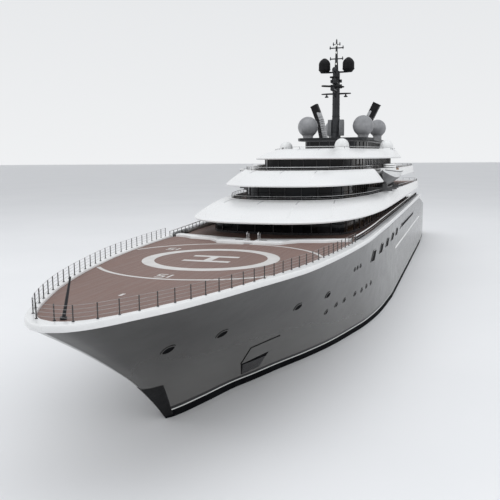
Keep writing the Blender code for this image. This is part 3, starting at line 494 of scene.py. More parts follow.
# %% The hull as a function
def half_breadth(x, z):
    """Above the stripe the side leans out by a power of the height; below it the section is a
    superellipse, 1 - depth to a power that boxes the bilge amidships and fines it at the ends."""
    x, z = np.broadcast_arrays(np.asarray(x, float), np.asarray(z, float))
    aft = np.maximum(read_table(STEM, np.minimum(z, SHEER_Z)) - x, 0.0)
    parallel = np.where(x < 0, read_table(AFT_BREADTH, x), HALF_BEAM)
    side = np.minimum(read_table(STRIPE_LINE, aft), parallel)
    upper = np.where(x > 0, read_table(SHEER_LINE, aft), read_table(AFT_BREADTH, x))
    rise = np.clip((z - STRIPE_Z) / (SHEER_Z - STRIPE_Z), 0, 1)
    above = side + (upper - side) * rise**FLARE_POWER
    depth = np.clip((STRIPE_Z - z) / (STRIPE_Z - read_table(BOTTOM, x, 1)), 0, 1)
    below = side * np.sqrt(np.maximum(0, 1 - depth ** read_table(BOTTOM, x, 2)))
    return np.where(z >= STRIPE_Z, above, below)


def hull_side():
    """Stations by levels: each waterline starts on the raked stem and ends at the transom, so the
    place along it is stem + (transom - stem) times a power of the station's share."""
    share = np.linspace(0, 1, 121)[:, None] ** 1.7
    up = np.linspace(1, 0, 30)
    down = np.sin(np.linspace(0, 1, 26)[1:] * np.pi / 2)
    nominal = np.concatenate([STRIPE_Z + (SHEER_Z - STRIPE_Z) * up, STRIPE_Z - (STRIPE_Z - KEEL_Z) * down])
    stem = read_table(STEM, nominal)[None, :]
    x = stem + (TRANSOM_X - stem) * share
    above = STRIPE_Z + (read_line(AFT_SHEER, x) - STRIPE_Z) * np.concatenate([up, 0 * down])
    below = STRIPE_Z - (STRIPE_Z - read_table(BOTTOM, x)) * np.concatenate([0 * up, down])
    z = np.where(nominal >= STRIPE_Z, above, below)
    y = half_breadth(x, z)
    keel = np.where(np.arange(z.shape[1]) == z.shape[1] - 1, 0.25, 0.0)
    y = np.where(share == 0, 0.0, np.maximum(y, np.maximum(keel, 0.02)))
    return np.stack([x, y, z], axis=-1)


def hull_point(x, z, side=1, proud=0.0):
    """A place on the topside, moved out along the hull's own normal from finite differences."""
    x, z = np.broadcast_arrays(np.asarray(x, float), np.asarray(z, float))
    small = 0.05
    along = (half_breadth(x + small, z) - half_breadth(x - small, z)) / (2 * small)
    rise = (half_breadth(x, z + small) - half_breadth(x, z - small)) / (2 * small)
    normal = np.stack([-along, np.ones_like(along), -rise], axis=-1)
    normal /= np.linalg.norm(normal, axis=-1, keepdims=True)
    place = np.stack([x, half_breadth(x, z), z], axis=-1) + proud * normal
    return place * [1, side, 1]


side_skin = hull_side()
section = np.concatenate([side_skin, side_skin[:, ::-1] * [1, -1, 1]], axis=1)
middle = section[-1:].mean(axis=1, keepdims=True)
skin = surface(np.concatenate([section, np.broadcast_to(middle, section[-1:].shape)]), around=True)
# The paint changes half a hand below the white line: quads whose four corners all lie under it
wet = skin[0][skin[1], 2].max(axis=1) < STRIPE_Z + 0.01
print("hull skin:", len(skin[1]), "quads,", int(wet.sum()), "of them antifouling")


# %% [markdown]
# ### Under the water
# Twin shafts leave the hull through bossings and are held by two-legged brackets; a skeg, the bulb
# and the seats of rudders and fins finish the bottom. They are welded on, so here they simply sink
# into the skin and are joined to it as one piece.

# %% Bulb, skeg, bossings, brackets and seats
SHAFT_Y, SHAFT_Z = 4.2, -3.75
RUDDER_X = -58.8
FIN_ROOT = (2.0, 9.15, -4.35)
FIN_LEAN = (0.0, math.cos(math.radians(38)), -math.sin(math.radians(38)))


def round_profile(rows, count):
    """A turned profile's rows smoothed into count rows, each value a monotone cubic of its place."""
    rows = np.array(rows, float)
    reach = np.concatenate([[0], np.cumsum(np.linalg.norm(np.diff(rows, axis=0), axis=1))])
    at = np.linspace(0, reach[-1], count)
    return np.stack([read_table(list(zip(reach, rows[:, k])), at) for k in (0, 1)], axis=1)


def underwater_parts():
    bulb = [(-7.0, 0.0), (-6.8, 0.45), (-5.5, 1.0), (-3.0, 1.3), (0.0, 1.35), (2.2, 1.15), (3.8, 0.75),
            (4.5, 0.32), (4.6, 0.0)]
    made = [turned(round_profile(bulb, 40), (52.9, 0, -2.75), (1, 0, 0.02), 40)]
    top = np.linspace((-24.0, -3.2), (-50.8, -2.4), 20)
    foot = np.linspace((-24.0, -5.25), (-50.0, -4.9), 20)
    edge = [(top, -0.3), (foot, -0.3), (foot - [0, 0.12], 0.0), (foot, 0.3), (top, 0.3)]
    skeg = np.stack([np.stack([line[:, 0], np.full(20, y), line[:, 1]], 1) for line, y in edge], axis=1)
    made.append(capped(skeg))
    boss = round_profile([(0, 0.0), (0.02, 0.25), (4.0, 0.6), (9.0, 0.45), (10.0, 0.3), (10.0, 0.0)], 30)
    ring = [(0, 0.19), (0, 0.34), (0.15, 0.37), (1.05, 0.37), (1.2, 0.34), (1.2, 0.19), (0, 0.19)]
    seat = [(0, 0.0), (0, 0.66), (1.0, 0.6), (1.1, 0.54), (1.1, 0.0)]
    port = [turned(boss, (-35.0, SHAFT_Y, SHAFT_Z), (-1, 0, 0), 28),
            turned(ring, (-53.0, SHAFT_Y, SHAFT_Z), (-1, 0, 0), 32),
            turned(seat, (RUDDER_X, SHAFT_Y, -1.0), (0, 0, -1), 32)]
    for reach in (-1.3, 1.3):
        port.append(prisms((-53.55, SHAFT_Y + 0.2 * reach, SHAFT_Z + 0.28),
                           (-53.7, SHAFT_Y + reach, -1.2), 0.4, 0.1, sides=12))
    root, lean = np.array(FIN_ROOT), np.array(FIN_LEAN)
    port.append(turned([(-1.2, 0.0), (-1.2, 0.8), (-0.1, 0.75), (0.0, 0.68), (0.0, 0.0)], root, lean, 32))
    return made + both_sides(port)


# %% [markdown]
# ### What is let into the topsides
# Windows, mooring openings, portlights and the anchor pocket lie in the plating. Cutting them would
# tear the fine grid, so each is a thin closed pane and frame that follow the hull's own formula a few
# centimetres proud of it. The panes lean aft at the top, as the superstructure does.

# %% Windows and openings that follow the topside
def framed_window(corners, side, round_off=0.16, count=16):
    """Pane and frame between four corners (x, z), from the lower aft one round. The outline is a
    superellipse of power 2 / round_off in the shares (u, v) of the four-cornered place, so it is
    nearly straight-edged with soft corners, and leans as the corners do."""
    turn = np.linspace(0, 2 * np.pi, 4 * count, endpoint=False)
    u = np.sign(np.cos(turn)) * np.abs(np.cos(turn)) ** round_off
    v = np.sign(np.sin(turn)) * np.abs(np.sin(turn)) ** round_off
    (ax, az), (bx, bz), (cx, cz), (dx, dz) = corners
    half_x, half_z = abs(bx - ax) / 2, abs(dz - az) / 2

    def row(share, grow, proud):
        s, t = u * (share + grow / half_x), v * (share + grow / half_z)
        parts = ((1 - s) * (1 - t), (1 + s) * (1 - t), (1 + s) * (1 + t), (1 - s) * (1 + t))
        x = sum(part * corner for part, corner in zip(parts, (ax, bx, cx, dx))) / 4
        z = sum(part * corner for part, corner in zip(parts, (az, bz, cz, dz))) / 4
        return hull_point(x, z, side, proud)
    pane = surface(np.stack([row(0, 0, 0.025), row(0.5, 0, 0.025), row(1, 0, 0.025), row(1, 0, -0.05),
                             row(0, 0, -0.05)]), around=True)
    rim = surface(np.stack([row(0.97, 0, -0.05), row(0.97, 0, 0.045), row(1, 0.07, 0.045),
                            row(1, 0.07, -0.05)]), around=True, ends=True)
    return pane, rim


def upright(x, z, half_x, half_z):
    """The four corners of an upright opening round a middle."""
    return [(x - half_x, z - half_z), (x + half_x, z - half_z), (x + half_x, z + half_z), (x - half_x, z + half_z)]


# Leaning panes: lower aft, lower fore, upper fore, upper aft corner
WINDOWS = [[(25.3, 7.28), (27.05, 7.4), (26.2, 8.42), (24.45, 8.36)],
           [(20.4, 7.48), (22.1, 7.57), (20.95, 8.45), (19.2, 8.4)],
           [(15.5, 7.56), (17.35, 7.65), (16.05, 8.46), (14.35, 8.41)],
           [(10.45, 7.67), (12.4, 7.76), (10.75, 8.51), (8.75, 8.43)],
           [(5.0, 7.7), (6.8, 7.78), (5.55, 8.57), (3.8, 8.52)]]
LONG_SLOT = [(-22.9, 7.98), (0.3, 8.0), (-1.9, 8.47), (-24.9, 8.31)]
MOORING_HALF = (0.4, 0.24)
MOORINGS = [(58.17, 6.5), (53.42, 6.37), (44.82, 6.49), (39.73, 6.46)]
# x, z, radius
PORTLIGHTS = [(38.0, 4.52, 0.2), (36.13, 4.79, 0.2), (34.2, 4.84, 0.2), (31.36, 4.88, 0.2), (29.17, 4.84, 0.2),
              (27.39, 4.9, 0.2), (25.57, 4.91, 0.2), (33.78, 7.73, 0.15), (32.8, 7.73, 0.15),
              (31.69, 7.73, 0.15)]
panes, dark_rims, painted_hole_shades, rims = [], [], [], []
for side in (1, -1):
    for corners in WINDOWS + [LONG_SLOT]:
        pane, rim = framed_window(corners, side, 0.07 if corners is LONG_SLOT else 0.16)
        panes.append(pane)
        dark_rims.append(rim)
    # A mooring opening is not cut: its dark pane is painted shade where the hole's inside would be
    for x, z in MOORINGS:
        pane, rim = framed_window(upright(x, z, *MOORING_HALF), side, 0.8)
        painted_hole_shades.append(pane)
        rims.append(rim)
    for x, z, r in PORTLIGHTS:
        pane, rim = framed_window(upright(x, z, r, r), side, 1.0, 5)
        panes.append(pane)
        rims.append(rim)
print("windows and openings in the topsides:", len(panes) + len(painted_hole_shades))


# %% Anchor pocket, stem plate and rubbing strake
STRAKE_Z, STRAKE_FORE, STRAKE_AFT = 6.12, 7.2, -39.9


def patch(corners, side, proud, rows=10, columns=10, back=-0.06):
    """A closed leaf between four corners (x, z), each place a blend of the corners by its shares."""
    (ax, az), (bx, bz), (cx, cz), (dx, dz) = corners
    u, v = np.linspace(0, 1, columns)[None, :], np.linspace(0, 1, rows)[:, None]
    x = (1 - v) * ((1 - u) * ax + u * bx) + v * ((1 - u) * dx + u * cx)
    z = (1 - v) * ((1 - u) * az + u * bz) + v * ((1 - u) * dz + u * cz)
    face, rear = hull_point(x, z, side, proud), hull_point(x, z, side, back)
    ring_face = np.concatenate([face[0], face[1:, -1], face[-1, -2::-1], face[-2:0:-1, 0]])
    ring_rear = np.concatenate([rear[0], rear[1:, -1], rear[-1, -2::-1], rear[-2:0:-1, 0]])
    return [surface(face), surface(rear, flip=True), surface(np.stack([ring_rear, ring_face]), around=True)]


pocket_parts, pocket_grille, pocket_shade = [], [], []
for side in (1, -1):
    # Dark sheets of painted shade: a rim round the pocket's raised plate and the recess behind the grille
    pocket_shade += patch([(44.3, 3.95), (47.75, 3.78), (47.62, 2.33), (44.06, 2.6)], side, 0.03)
    pocket_parts += patch([(44.35, 3.9), (47.69, 3.73), (47.56, 2.39), (44.12, 2.65)], side, 0.06)
    pocket_shade += patch([(44.5, 2.55), (47.5, 2.3), (46.59, 1.18), (44.68, 1.28)], side, 0.04)
    for k in range(9):
        level = 1.3 + 0.11 * k
        pocket_grille += patch([(44.66, level + 0.04), (46.7 + 0.08 * k, level + 0.03),
                                (46.66 + 0.08 * k, level), (44.68, level)], side, 0.08, 2, 12)
strake = []
for side in (1, -1):
    x = np.linspace(STRAKE_FORE, STRAKE_AFT, 80)[:, None]
    turn = np.linspace(0, 2 * np.pi, 12, endpoint=False)[None, :]
    close = np.clip(np.minimum(STRAKE_FORE - x, x - STRAKE_AFT) / 0.5, 0.05, 1)
    place = hull_point(x, STRAKE_Z + 0.13 * close * np.sin(turn), side, 0)
    out = (hull_point(x, STRAKE_Z, side, 1.0) - hull_point(x, STRAKE_Z, side, 0)) * [1, 1, 0]
    strake.append(capped(place + out * (0.1 * close * np.cos(turn))[..., None]))
stem_z = np.linspace(3.34, 0.26, 24)[:, None]
stem_width = np.interp(stem_z, [0.26, 3.34], [0.5, 1.15])
stem_share = np.linspace(0, 1, 9)[None, :]
stem_rows = []
for side in (1, -1):
    x = read_table(STEM, stem_z) - stem_share * stem_width
    stem_rows.append(hull_point(x, stem_z + 0 * x, side, 0.03))
stem_face = np.concatenate([stem_rows[0][:, ::-1], stem_rows[1][:, 1:]], axis=1)
stem_back = stem_face - [0.12, 0, 0]
stem_plate = surface(np.concatenate([stem_face, stem_back[:, ::-1]], axis=1), around=True)

piece("hull_skin", [("hull_paint", [(skin[0], skin[1][~wet])]),
                    ("antifouling", [(skin[0], skin[1][wet])] + underwater_parts())],
      replaces="hull", sharp=32)
piece("topside_windows", [("opening_dark", panes), ("hull_paint", dark_rims)])
piece("topside_openings", [("opening_dark", painted_hole_shades), ("hull_paint", rims)])
piece("anchor_pockets", [("hull_paint", pocket_parts), ("cradle_grey", pocket_grille),
                         ("opening_dark", pocket_shade)])
piece("topside_strake", [("white_paint", strake)])
piece("stem_plate", [("black_paint", [stem_plate])])

# %% [markdown]
# ## Bulwark cap
# The hull ends in a white rounded cap, fat at the bow and slimmer aft. It is a profile carried along
# the deck edge. The profile's few corners are rounded by cutting them twice, which keeps it inside
# the solid that it replaces.

# %% Cap profile along the deck edge
def cut_corners(ring, times):
    """Chaikin's rule: each corner becomes two points a quarter along its sides. Rows are rings."""
    for _ in range(times):
        after = np.roll(ring, -1, axis=-2)
        ring = np.stack([0.75 * ring + 0.25 * after, 0.25 * ring + 0.75 * after], axis=-2)
        ring = ring.reshape(*ring.shape[:-3], -1, ring.shape[-1])
    return ring


def cap_rows(count):
    """Outer and inner plan points, close together round the nose: places go by a power of their share."""
    share = np.linspace(0, 1, count) ** 2.2
    reach, inner_reach = STEM[-1][1] - CAP_END_X, DECK_TIP_X - CAP_END_X
    outer = np.stack([STEM[-1][1] - reach * share, read_table(SHEER_LINE, reach * share)], axis=1)
    inner = np.stack([DECK_TIP_X - inner_reach * share, read_table(DECK_EDGE, inner_reach * share)], axis=1)
    return outer, inner


def cap_top(x):
    """The cap's crest: it rises from the bow's height to the side's over 18 m, by a smooth step."""
    rise = np.clip((COAMING_SIDE_X - x) / 18.0, 0, 1)
    return CAP_TOP_Z[0] + (CAP_TOP_Z[1] - CAP_TOP_Z[0]) * rise * rise * (3 - 2 * rise)


def cap_ring():
    outer, inner = cap_rows(170)
    inward = inner - outer
    unit = inward / np.linalg.norm(inward, axis=1, keepdims=True)
    top = cap_top(outer[:, 0])
    swell = 0.28
    # part of the way in (outward where negative), height below the crest
    corners = [(-0.1, None), (-0.4, 0.42), (-0.62, 0.2), (-0.45, 0.0), (0.15, -0.03), (0.7, 0.0), (1.03, 0.02),
               (1.0, None)]
    rows = []
    for part, drop in corners:
        spot = outer + (unit * part * swell if part < 0 else inward * min(part, 1.0))
        height = np.full(len(outer), SHEER_Z + 0.003) if drop is None else top - drop
        rows.append(np.stack([spot[:, 0], spot[:, 1], height], axis=1))
    ring = np.stack(rows, axis=1)
    soft = cut_corners(ring, 3)
    soft[..., 2] = np.maximum(soft[..., 2], SHEER_Z + 0.003)
    return soft


cap_half = cap_ring()
cap_full = np.concatenate([cap_half[::-1], cap_half[1:] * [1, -1, 1]])
cap_full[:, :, 2] = np.minimum(cap_full[:, :, 2], cap_top(cap_full[:, :, 0]) - 0.005)
cap_points, cap_faces = capped(cap_full)
# Aft of the helideck the cap's inner half is painted grey, a painted shadow of the side rail: quads that look up and
# lie well inboard
cap_middles = cap_points[cap_faces].mean(axis=1)
cap_reach = read_table(SHEER_LINE, STEM[-1][1] - cap_middles[:, 0]) - np.abs(cap_middles[:, 1])
painted_rail_shadow = ((cap_middles[:, 0] < 31.0) & (cap_middles[:, 0] > CAP_END_X + 0.2) & (cap_reach > 0.24)
         & (cap_middles[:, 2] > cap_top(cap_middles[:, 0]) - 0.06))
piece("bow_cap", [("white_paint", [(cap_points, cap_faces[~painted_rail_shadow])]), ("soft_grey", [(cap_points, cap_faces[painted_rail_shadow])])],
      replaces="bulwark_cap", sharp=60)


# %% [markdown]
# ## Helideck and walkway
# A helideck is a flat plate with painted marks. The marks could be drawn by a shader, but thin closed
# sheets of paint give crisp edges at any distance and reach the exported mesh too. They lie 12 mm
# (full size) over the planks, which is a millimetre on the model.

# %% The coaming's two lines
COAMING_FRONT = [(35.3, 0.0), (35.25, 3.2), (34.3, 3.75), (33.3, 4.7), (32.8, 7.0), (31.9, 8.1), (31.6, 9.0)]
COAMING_BACK = [(30.4, 9.3), (31.0, 7.8), (32.0, 4.4), (32.6, 2.4), (33.1, 0.0)]


# %% Painted marks
MARK_Z = FOREDECK_Z + 0.012
RING_RADII = (4.62, 5.62)
OUTER_CIRCLE = (8.95, 9.25)


def paint_ring(inner, outer, start=0.0, end=360.0, count=160):
    """A flat ring of paint between two radii and two angles, closed underneath."""
    angle = np.radians(np.linspace(start, end, count))
    points = []
    for radius, z in ((inner, MARK_Z - 0.02), (inner, MARK_Z), (outer, MARK_Z), (outer, MARK_Z - 0.02)):
        points.append(np.stack([HELIDECK_X + radius * np.cos(angle), radius * np.sin(angle), 0 * angle + z], 1))
    ring = np.stack(points, axis=1)
    return surface(ring, around=True, ends=True) if end - start == 360.0 else capped(ring)


def paint_bar(x0, x1, y0, y1):
    return box((x0, y0, MARK_Z - 0.02), (x1, y1, MARK_Z))


# Seven strokes of a plain digit: from and to, across and up, in halves of its box
STROKES = {"a": ((0, 2), (1, 2)), "b": ((1, 2), (1, 1)), "c": ((1, 1), (1, 0)), "d": ((0, 0), (1, 0)),
           "e": ((0, 1), (0, 0)), "f": ((0, 2), (0, 1)), "g": ((0, 1), (1, 1))}
DIGITS = {"2": "abged", "1": "bc", "t": "fged", "0": "abcdef"}


def deck_number(words, x, y, turn, tall=0.9):
    """Plain digits as bars of paint, read along the circle at a place."""
    made = []
    wide, line = tall * 0.5, tall * 0.16
    facing = np.array([math.cos(turn), math.sin(turn)])
    along = np.array([-facing[1], facing[0]])
    for place, word in enumerate(words):
        shift = (place - (len(words) - 1) / 2) * wide * 1.75
        for stroke in DIGITS[word]:
            (u0, v0), (u1, v1) = STROKES[stroke]
            ends = [np.array([x, y]) + along * (shift + (u - 0.5) * wide) + facing * (v / 2 - 0.5) * tall
                    for u, v in ((u0, v0), (u1, v1))]
            made.append(prisms(np.append(ends[0], MARK_Z - 0.01), np.append(ends[1], MARK_Z - 0.01),
                               line / 2, 0.01, sides=4))
    return made


def circle_limit(radius):
    """Angles at which the outer circle stays inside the deck, tried every half degree."""
    angle = np.radians(np.arange(0, 180, 0.5))
    x, y = HELIDECK_X + radius * np.cos(angle), radius * np.sin(angle)
    edge = read_table(DECK_EDGE, DECK_TIP_X - x) - 0.1
    front = np.interp(np.clip(y, 0, 9), [r[1] for r in COAMING_FRONT], [r[0] for r in COAMING_FRONT])
    inside = (y < edge) & (x > front + 0.1)
    return np.degrees(angle[inside]), inside


marks = [paint_ring(*RING_RADII)]
angles, inside = circle_limit(OUTER_CIRCLE[1])
breaks = np.flatnonzero(np.diff(angles) > 0.75)
for run in np.split(angles, breaks + 1):
    if len(run) < 3:
        continue
    low, high = run[0], run[-1]
    if low == 0:
        marks.append(paint_ring(*OUTER_CIRCLE, -high, high, 120))
    else:
        marks.append(paint_ring(*OUTER_CIRCLE, low, high, 90))
        marks.append(paint_ring(*OUTER_CIRCLE, -high, -low, 90))
H_LONG, H_WIDE, H_LINE = 4.0, 3.0, 0.62
for side in (1, -1):
    near, far = sorted((side * (H_WIDE / 2 - H_LINE), side * H_WIDE / 2))
    marks.append(paint_bar(HELIDECK_X + near, HELIDECK_X + far, -H_LONG / 2, H_LONG / 2))
marks.append(paint_bar(HELIDECK_X - H_WIDE / 2 + H_LINE, HELIDECK_X + H_WIDE / 2 - H_LINE, -0.34, 0.34))
for x, y in ((52.62, -0.13), (40.2, -5.2)):
    marks += deck_number("12", x, y, math.pi, 1.1)
marks.append(paint_bar(58.7, 59.3, -0.21, -0.01))
print("deck marks:", len(marks))

foredeck_low = SHEER_Z + 0.003


def planked_fore():
    """The foredeck as rows across the ship at each station, its aft edge following the white step."""
    share = np.linspace(0, 1, 90)[:, None] ** 1.6
    across = np.linspace(-1, 1, 61)[None, :]
    aft_y = across * 9.33
    aft_x = np.interp(np.abs(aft_y), [r[1] for r in COAMING_FRONT] + [9.35],
                      [r[0] for r in COAMING_FRONT] + [31.5]) + 0.01
    x = DECK_TIP_X - 0.05 + (aft_x - DECK_TIP_X + 0.05) * share
    y = across * (read_table(DECK_EDGE, DECK_TIP_X - x) - 0.02)
    y = np.where(share > 0.85, y + (aft_y - y) * np.clip((share - 0.85) / 0.15, 0, 1), y)
    y = np.clip(y, -(read_table(DECK_EDGE, DECK_TIP_X - x) - 0.02), read_table(DECK_EDGE, DECK_TIP_X - x) - 0.02)
    top = np.stack([x, y, 0 * x + FOREDECK_Z], axis=-1)
    low = top - [0, 0, FOREDECK_Z - foredeck_low]
    ring_top = np.concatenate([top[0], top[1:, -1], top[-1, -2::-1], top[-2:0:-1, 0]])
    ring_low = np.concatenate([low[0], low[1:, -1], low[-1, -2::-1], low[-2:0:-1, 0]])
    return [surface(top), surface(low, flip=True), surface(np.stack([ring_low, ring_top]), around=True)]


piece("helideck", [("deck_brown", planked_fore()), ("mark_white", marks)], replaces="foredeck",
      sharp=30)


# %% [markdown]
# ### The white step
# Between helideck and walkway runs a white coaming with a gap for the steps and two dark louvres.
# It is a plate with a rounded top edge, again a profile carried along a line.

# %% Coaming, louvres, steps and handrails
STEP_TOP = 10.25


def rounded_bar(front, back, low, high, soft, count):
    """A closed bar between two lines: ring of eight points whose upper corners are eased."""
    y = np.linspace(front[0][1] if front[0][1] < front[-1][1] else front[-1][1], 9.2, count)
    x_front = np.interp(y, [r[1] for r in front], [r[0] for r in front])
    back_sorted = sorted(back, key=lambda r: r[1])
    x_back = np.interp(y, [r[1] for r in back_sorted], [r[0] for r in back_sorted])
    rows = []
    for share, z in ((0.0, low), (0.0, high - soft), (soft * 0.3, high - soft * 0.3), (soft, high),
                     (-soft, high), (-soft * 0.3, high - soft * 0.3), (-0.0001, high - soft), (-0.0001, low)):
        base = x_front - share if share >= 0 else x_back - share
        rows.append(np.stack([base, y, 0 * y + z], axis=1))
    return np.stack(rows, axis=1)


GAP_HALF, LIP_X = 0.45, 34.45
coaming_rows = rounded_bar([(35.29, 0.0)] + COAMING_FRONT[1:], COAMING_BACK, SHEER_Z + 0.003, STEP_TOP - 0.002,
                           0.09, 120)
open_rows = coaming_rows[coaming_rows[:, 0, 1] > GAP_HALF]
coaming_parts = both_sides([capped(open_rows)])
low_rows = coaming_rows[coaming_rows[:, 0, 1] <= GAP_HALF + 0.08].copy()
low_rows[..., 2] = np.minimum(low_rows[..., 2], 10.02)
low_rows = np.concatenate([(low_rows * [1, -1, 1])[::-1], low_rows[1:]])
coaming_parts.append(capped(low_rows))
lip = cut_corners(np.array([(LIP_X, 9.99), (35.28, 9.99), (35.28, STEP_TOP - 0.003), (LIP_X, STEP_TOP - 0.003)]), 1)
coaming_parts.append(capped(np.stack([np.column_stack([lip[:, 0], np.full(len(lip), y), lip[:, 1]])
                                      for y in (-GAP_HALF - 0.06, GAP_HALF + 0.06)])))
louvres, treads, handrails = [], [], []
for side in (1, -1):
    y0, y1 = sorted((side * 0.8, side * 1.6))
    louvres.append(box((34.0, y0, STEP_TOP - 0.05), (34.35, y1, STEP_TOP + 0.008)))
    for k in range(6):
        spot = y0 + (k + 0.5) * (y1 - y0) / 6
        louvres.append(box((33.98, spot - 0.02, STEP_TOP - 0.05), (34.37, spot + 0.02, STEP_TOP + 0.02)))
    y = side * (GAP_HALF + 0.12)
    bend = np.linspace(0, math.pi, 14)
    arch = np.stack([33.45 - 0.32 * np.cos(bend), 0 * bend + y, 10.72 + 0.24 * np.sin(bend)], axis=1)
    handrails.append(tube(np.concatenate([[(33.13, y, 10.2)], arch, [(33.77, y, 10.2)]]), 0.04, 8))
for k in range(2):
    treads.append(box((33.2 + 0.62 * k, -0.42, 10.02), (33.74 + 0.62 * k, 0.42, 10.05)))
piece("step_coaming", [("white_paint", coaming_parts), ("frame_dark", louvres), ("teak", treads),
                       ("steel", handrails)], replaces="deck_coaming", sharp=40)


# %% Walkway round the first house
def planked_walk():
    """The walkway as rows across at each station, from the coaming's back to the cap's end."""
    share = np.linspace(0, 1, 60)[:, None]
    across = np.linspace(-1, 1, 61)[None, :]
    back = sorted(COAMING_BACK, key=lambda r: r[1])
    first = np.interp(np.abs(across) * 9.3, [r[1] for r in back], [r[0] for r in back]) - 0.02
    x = first + (CAP_END_X + 0.1 - first) * share
    edge = read_table(DECK_EDGE, DECK_TIP_X - x) - 0.04
    y = across * np.minimum(edge, 9.3 + (edge - 9.3) * np.clip(share * 12, 0, 1))
    top = np.stack([x, y, 0 * x + MAIN_DECK_Z], axis=-1)
    low = top - [0, 0, MAIN_DECK_Z - foredeck_low]
    ring_top = np.concatenate([top[0], top[1:, -1], top[-1, -2::-1], top[-2:0:-1, 0]])
    ring_low = np.concatenate([low[0], low[1:, -1], low[-1, -2::-1], low[-2:0:-1, 0]])
    return [surface(top), surface(low, flip=True), surface(np.stack([ring_low, ring_top]), around=True)]


piece("walkway", [("deck_brown", planked_walk())], replaces="main_deck", sharp=30)

# %% [markdown]
# ## Deck shells
# Each deck is wrapped in a white shell: a thin lip, a long swelling front that leans back, and a
# rounded top rail over a recessed floor. It is a profile, a quadratic curve through lip, swell and
# rail, carried round a smooth plan. That gives the long soft highlights that a cage of flat panels
# would break up.

# %% Shell tables: lower edge x, y, z, then upper edge x, y, z
SHELL_A = [(33.6, 0.0, 11.7, 25.4, 0.0, 13.5), (33.4, 2.9, 11.7, 25.1, 2.5, 13.5),
           (32.5, 5.2, 11.7, 24.4, 4.4, 13.5), (31.0, 6.9, 11.7, 23.0, 5.9, 13.5),
           (28.6, 8.3, 11.72, 20.8, 7.0, 13.5), (25.0, 9.4, 11.75, 17.6, 7.9, 13.5),
           (20.0, 10.2, 11.8, 14.0, 8.6, 13.5), (14.0, 10.65, 11.85, 9.0, 9.1, 13.5),
           (4.0, 10.85, 11.9, 0.0, 9.7, 13.5), (-19.0, 11.0, 11.95, -19.0, 10.5, 13.4),
           (-37.0, 11.0, 11.95, -37.0, 10.7, 13.3), (-44.0, 10.6, 12.0, -44.0, 10.4, 13.2),
           (-47.4, 8.2, 12.0, -47.2, 8.1, 13.2), (-48.6, 4.4, 12.0, -48.4, 4.3, 13.2),
           (-49.0, 0.0, 12.0, -48.8, 0.0, 13.2)]
SHELL_B = [(26.6, 0.0, 14.95, 20.5, 0.0, 16.6), (26.4, 2.4, 14.95, 20.3, 2.1, 16.6),
           (25.5, 4.4, 14.95, 19.6, 4.0, 16.6), (23.9, 6.1, 14.95, 18.2, 5.2, 16.6),
           (21.6, 7.2, 14.95, 16.2, 6.2, 16.6), (18.4, 8.2, 14.95, 14.0, 7.2, 16.6),
           (14.5, 9.3, 14.95, 12.0, 8.0, 16.6), (11.2, 9.9, 14.95, 10.4, 8.6, 16.6),
           (10.2, 7.5, 14.95, 9.9, 7.5, 16.6), (-5.4, 7.5, 14.95, -5.4, 7.5, 16.4),
           (-6.4, 10.1, 14.95, -6.2, 9.9, 16.4), (-36.0, 10.1, 14.95, -36.0, 9.9, 16.3),
           (-40.5, 8.6, 14.95, -40.3, 8.5, 16.3), (-42.3, 5.0, 14.95, -42.1, 4.9, 16.3),
           (-43.0, 0.0, 14.95, -42.8, 0.0, 16.3)]
SHELL_C = [(14.6, 0.0, 17.85, 8.6, 0.0, 19.25), (14.5, 2.2, 17.85, 8.4, 1.8, 19.25),
           (14.0, 4.2, 17.85, 7.5, 3.2, 19.25), (12.6, 5.9, 17.85, 5.6, 4.6, 19.25),
           (9.4, 7.4, 17.85, 2.5, 5.8, 19.25), (5.0, 8.6, 17.85, -0.2, 6.5, 19.25),
           (-0.5, 9.4, 17.85, -3.2, 7.2, 19.25), (-5.0, 9.8, 17.85, -5.8, 9.15, 19.1),
           (-10.6, 10.0, 17.85, -10.6, 9.15, 19.1), (-13.4, 8.0, 17.85, -12.2, 7.5, 19.1),
           (-28.0, 7.4, 17.85, -28.0, 7.3, 19.2), (-32.0, 6.0, 17.85, -31.8, 5.9, 19.2),
           (-34.0, 3.4, 17.85, -33.8, 3.3, 19.2), (-34.5, 0.0, 17.85, -34.3, 0.0, 19.2)]
# letter: table, floor, soffit, width of the rail, swell
SHELLS = {"a": (SHELL_A, DECK_2_Z, 12.1, 0.3, 0.3), "b": (SHELL_B, DECK_3_Z, 15.15, 0.3, 0.25),
          "c": (SHELL_C, ROOF_Z, 18.05, 0.2, 0.2)}


# %% Shell surface
def inward(ring, distance):
    """A closed plan ring moved inwards along its own normals. Rows are x, y, z."""
    along = np.roll(ring, -1, axis=0) - np.roll(ring, 1, axis=0)
    normal = np.stack([along[:, 1], -along[:, 0], 0 * along[:, 0]], axis=1)
    normal /= np.maximum(np.linalg.norm(normal, axis=1, keepdims=True), 1e-9)
    return ring - normal * distance


def shell_plan(table, count):
    """Closed lower and upper rings of a shell, smooth round the front and stern."""
    half = smooth_outline(table, count)
    full = np.concatenate([half, half[-2:0:-1] * [1, -1, 1, 1, -1, 1]])
    return full[:, :3], full[:, 3:]


def shell_face(low, top, bulge, share):
    """Quadratic curve from lip to top rail whose middle is lifted by the swell; share runs 0 to 1.
    The swell fades where the side is steep, as the run between lip and rail gets short."""
    lip = low + [0, 0, 0.16]
    spread = np.minimum(1.0, np.abs(lip[:, 0] - top[:, 0]) / 6.0)[:, None]
    middle = (lip + top) / 2 + np.concatenate([0 * spread, 0 * spread, bulge * spread], axis=1)
    pull = 2 * middle - (lip + top) / 2
    s = np.asarray(share, float)[:, None, None]
    return (1 - s) ** 2 * lip + 2 * s * (1 - s) * pull + s**2 * top


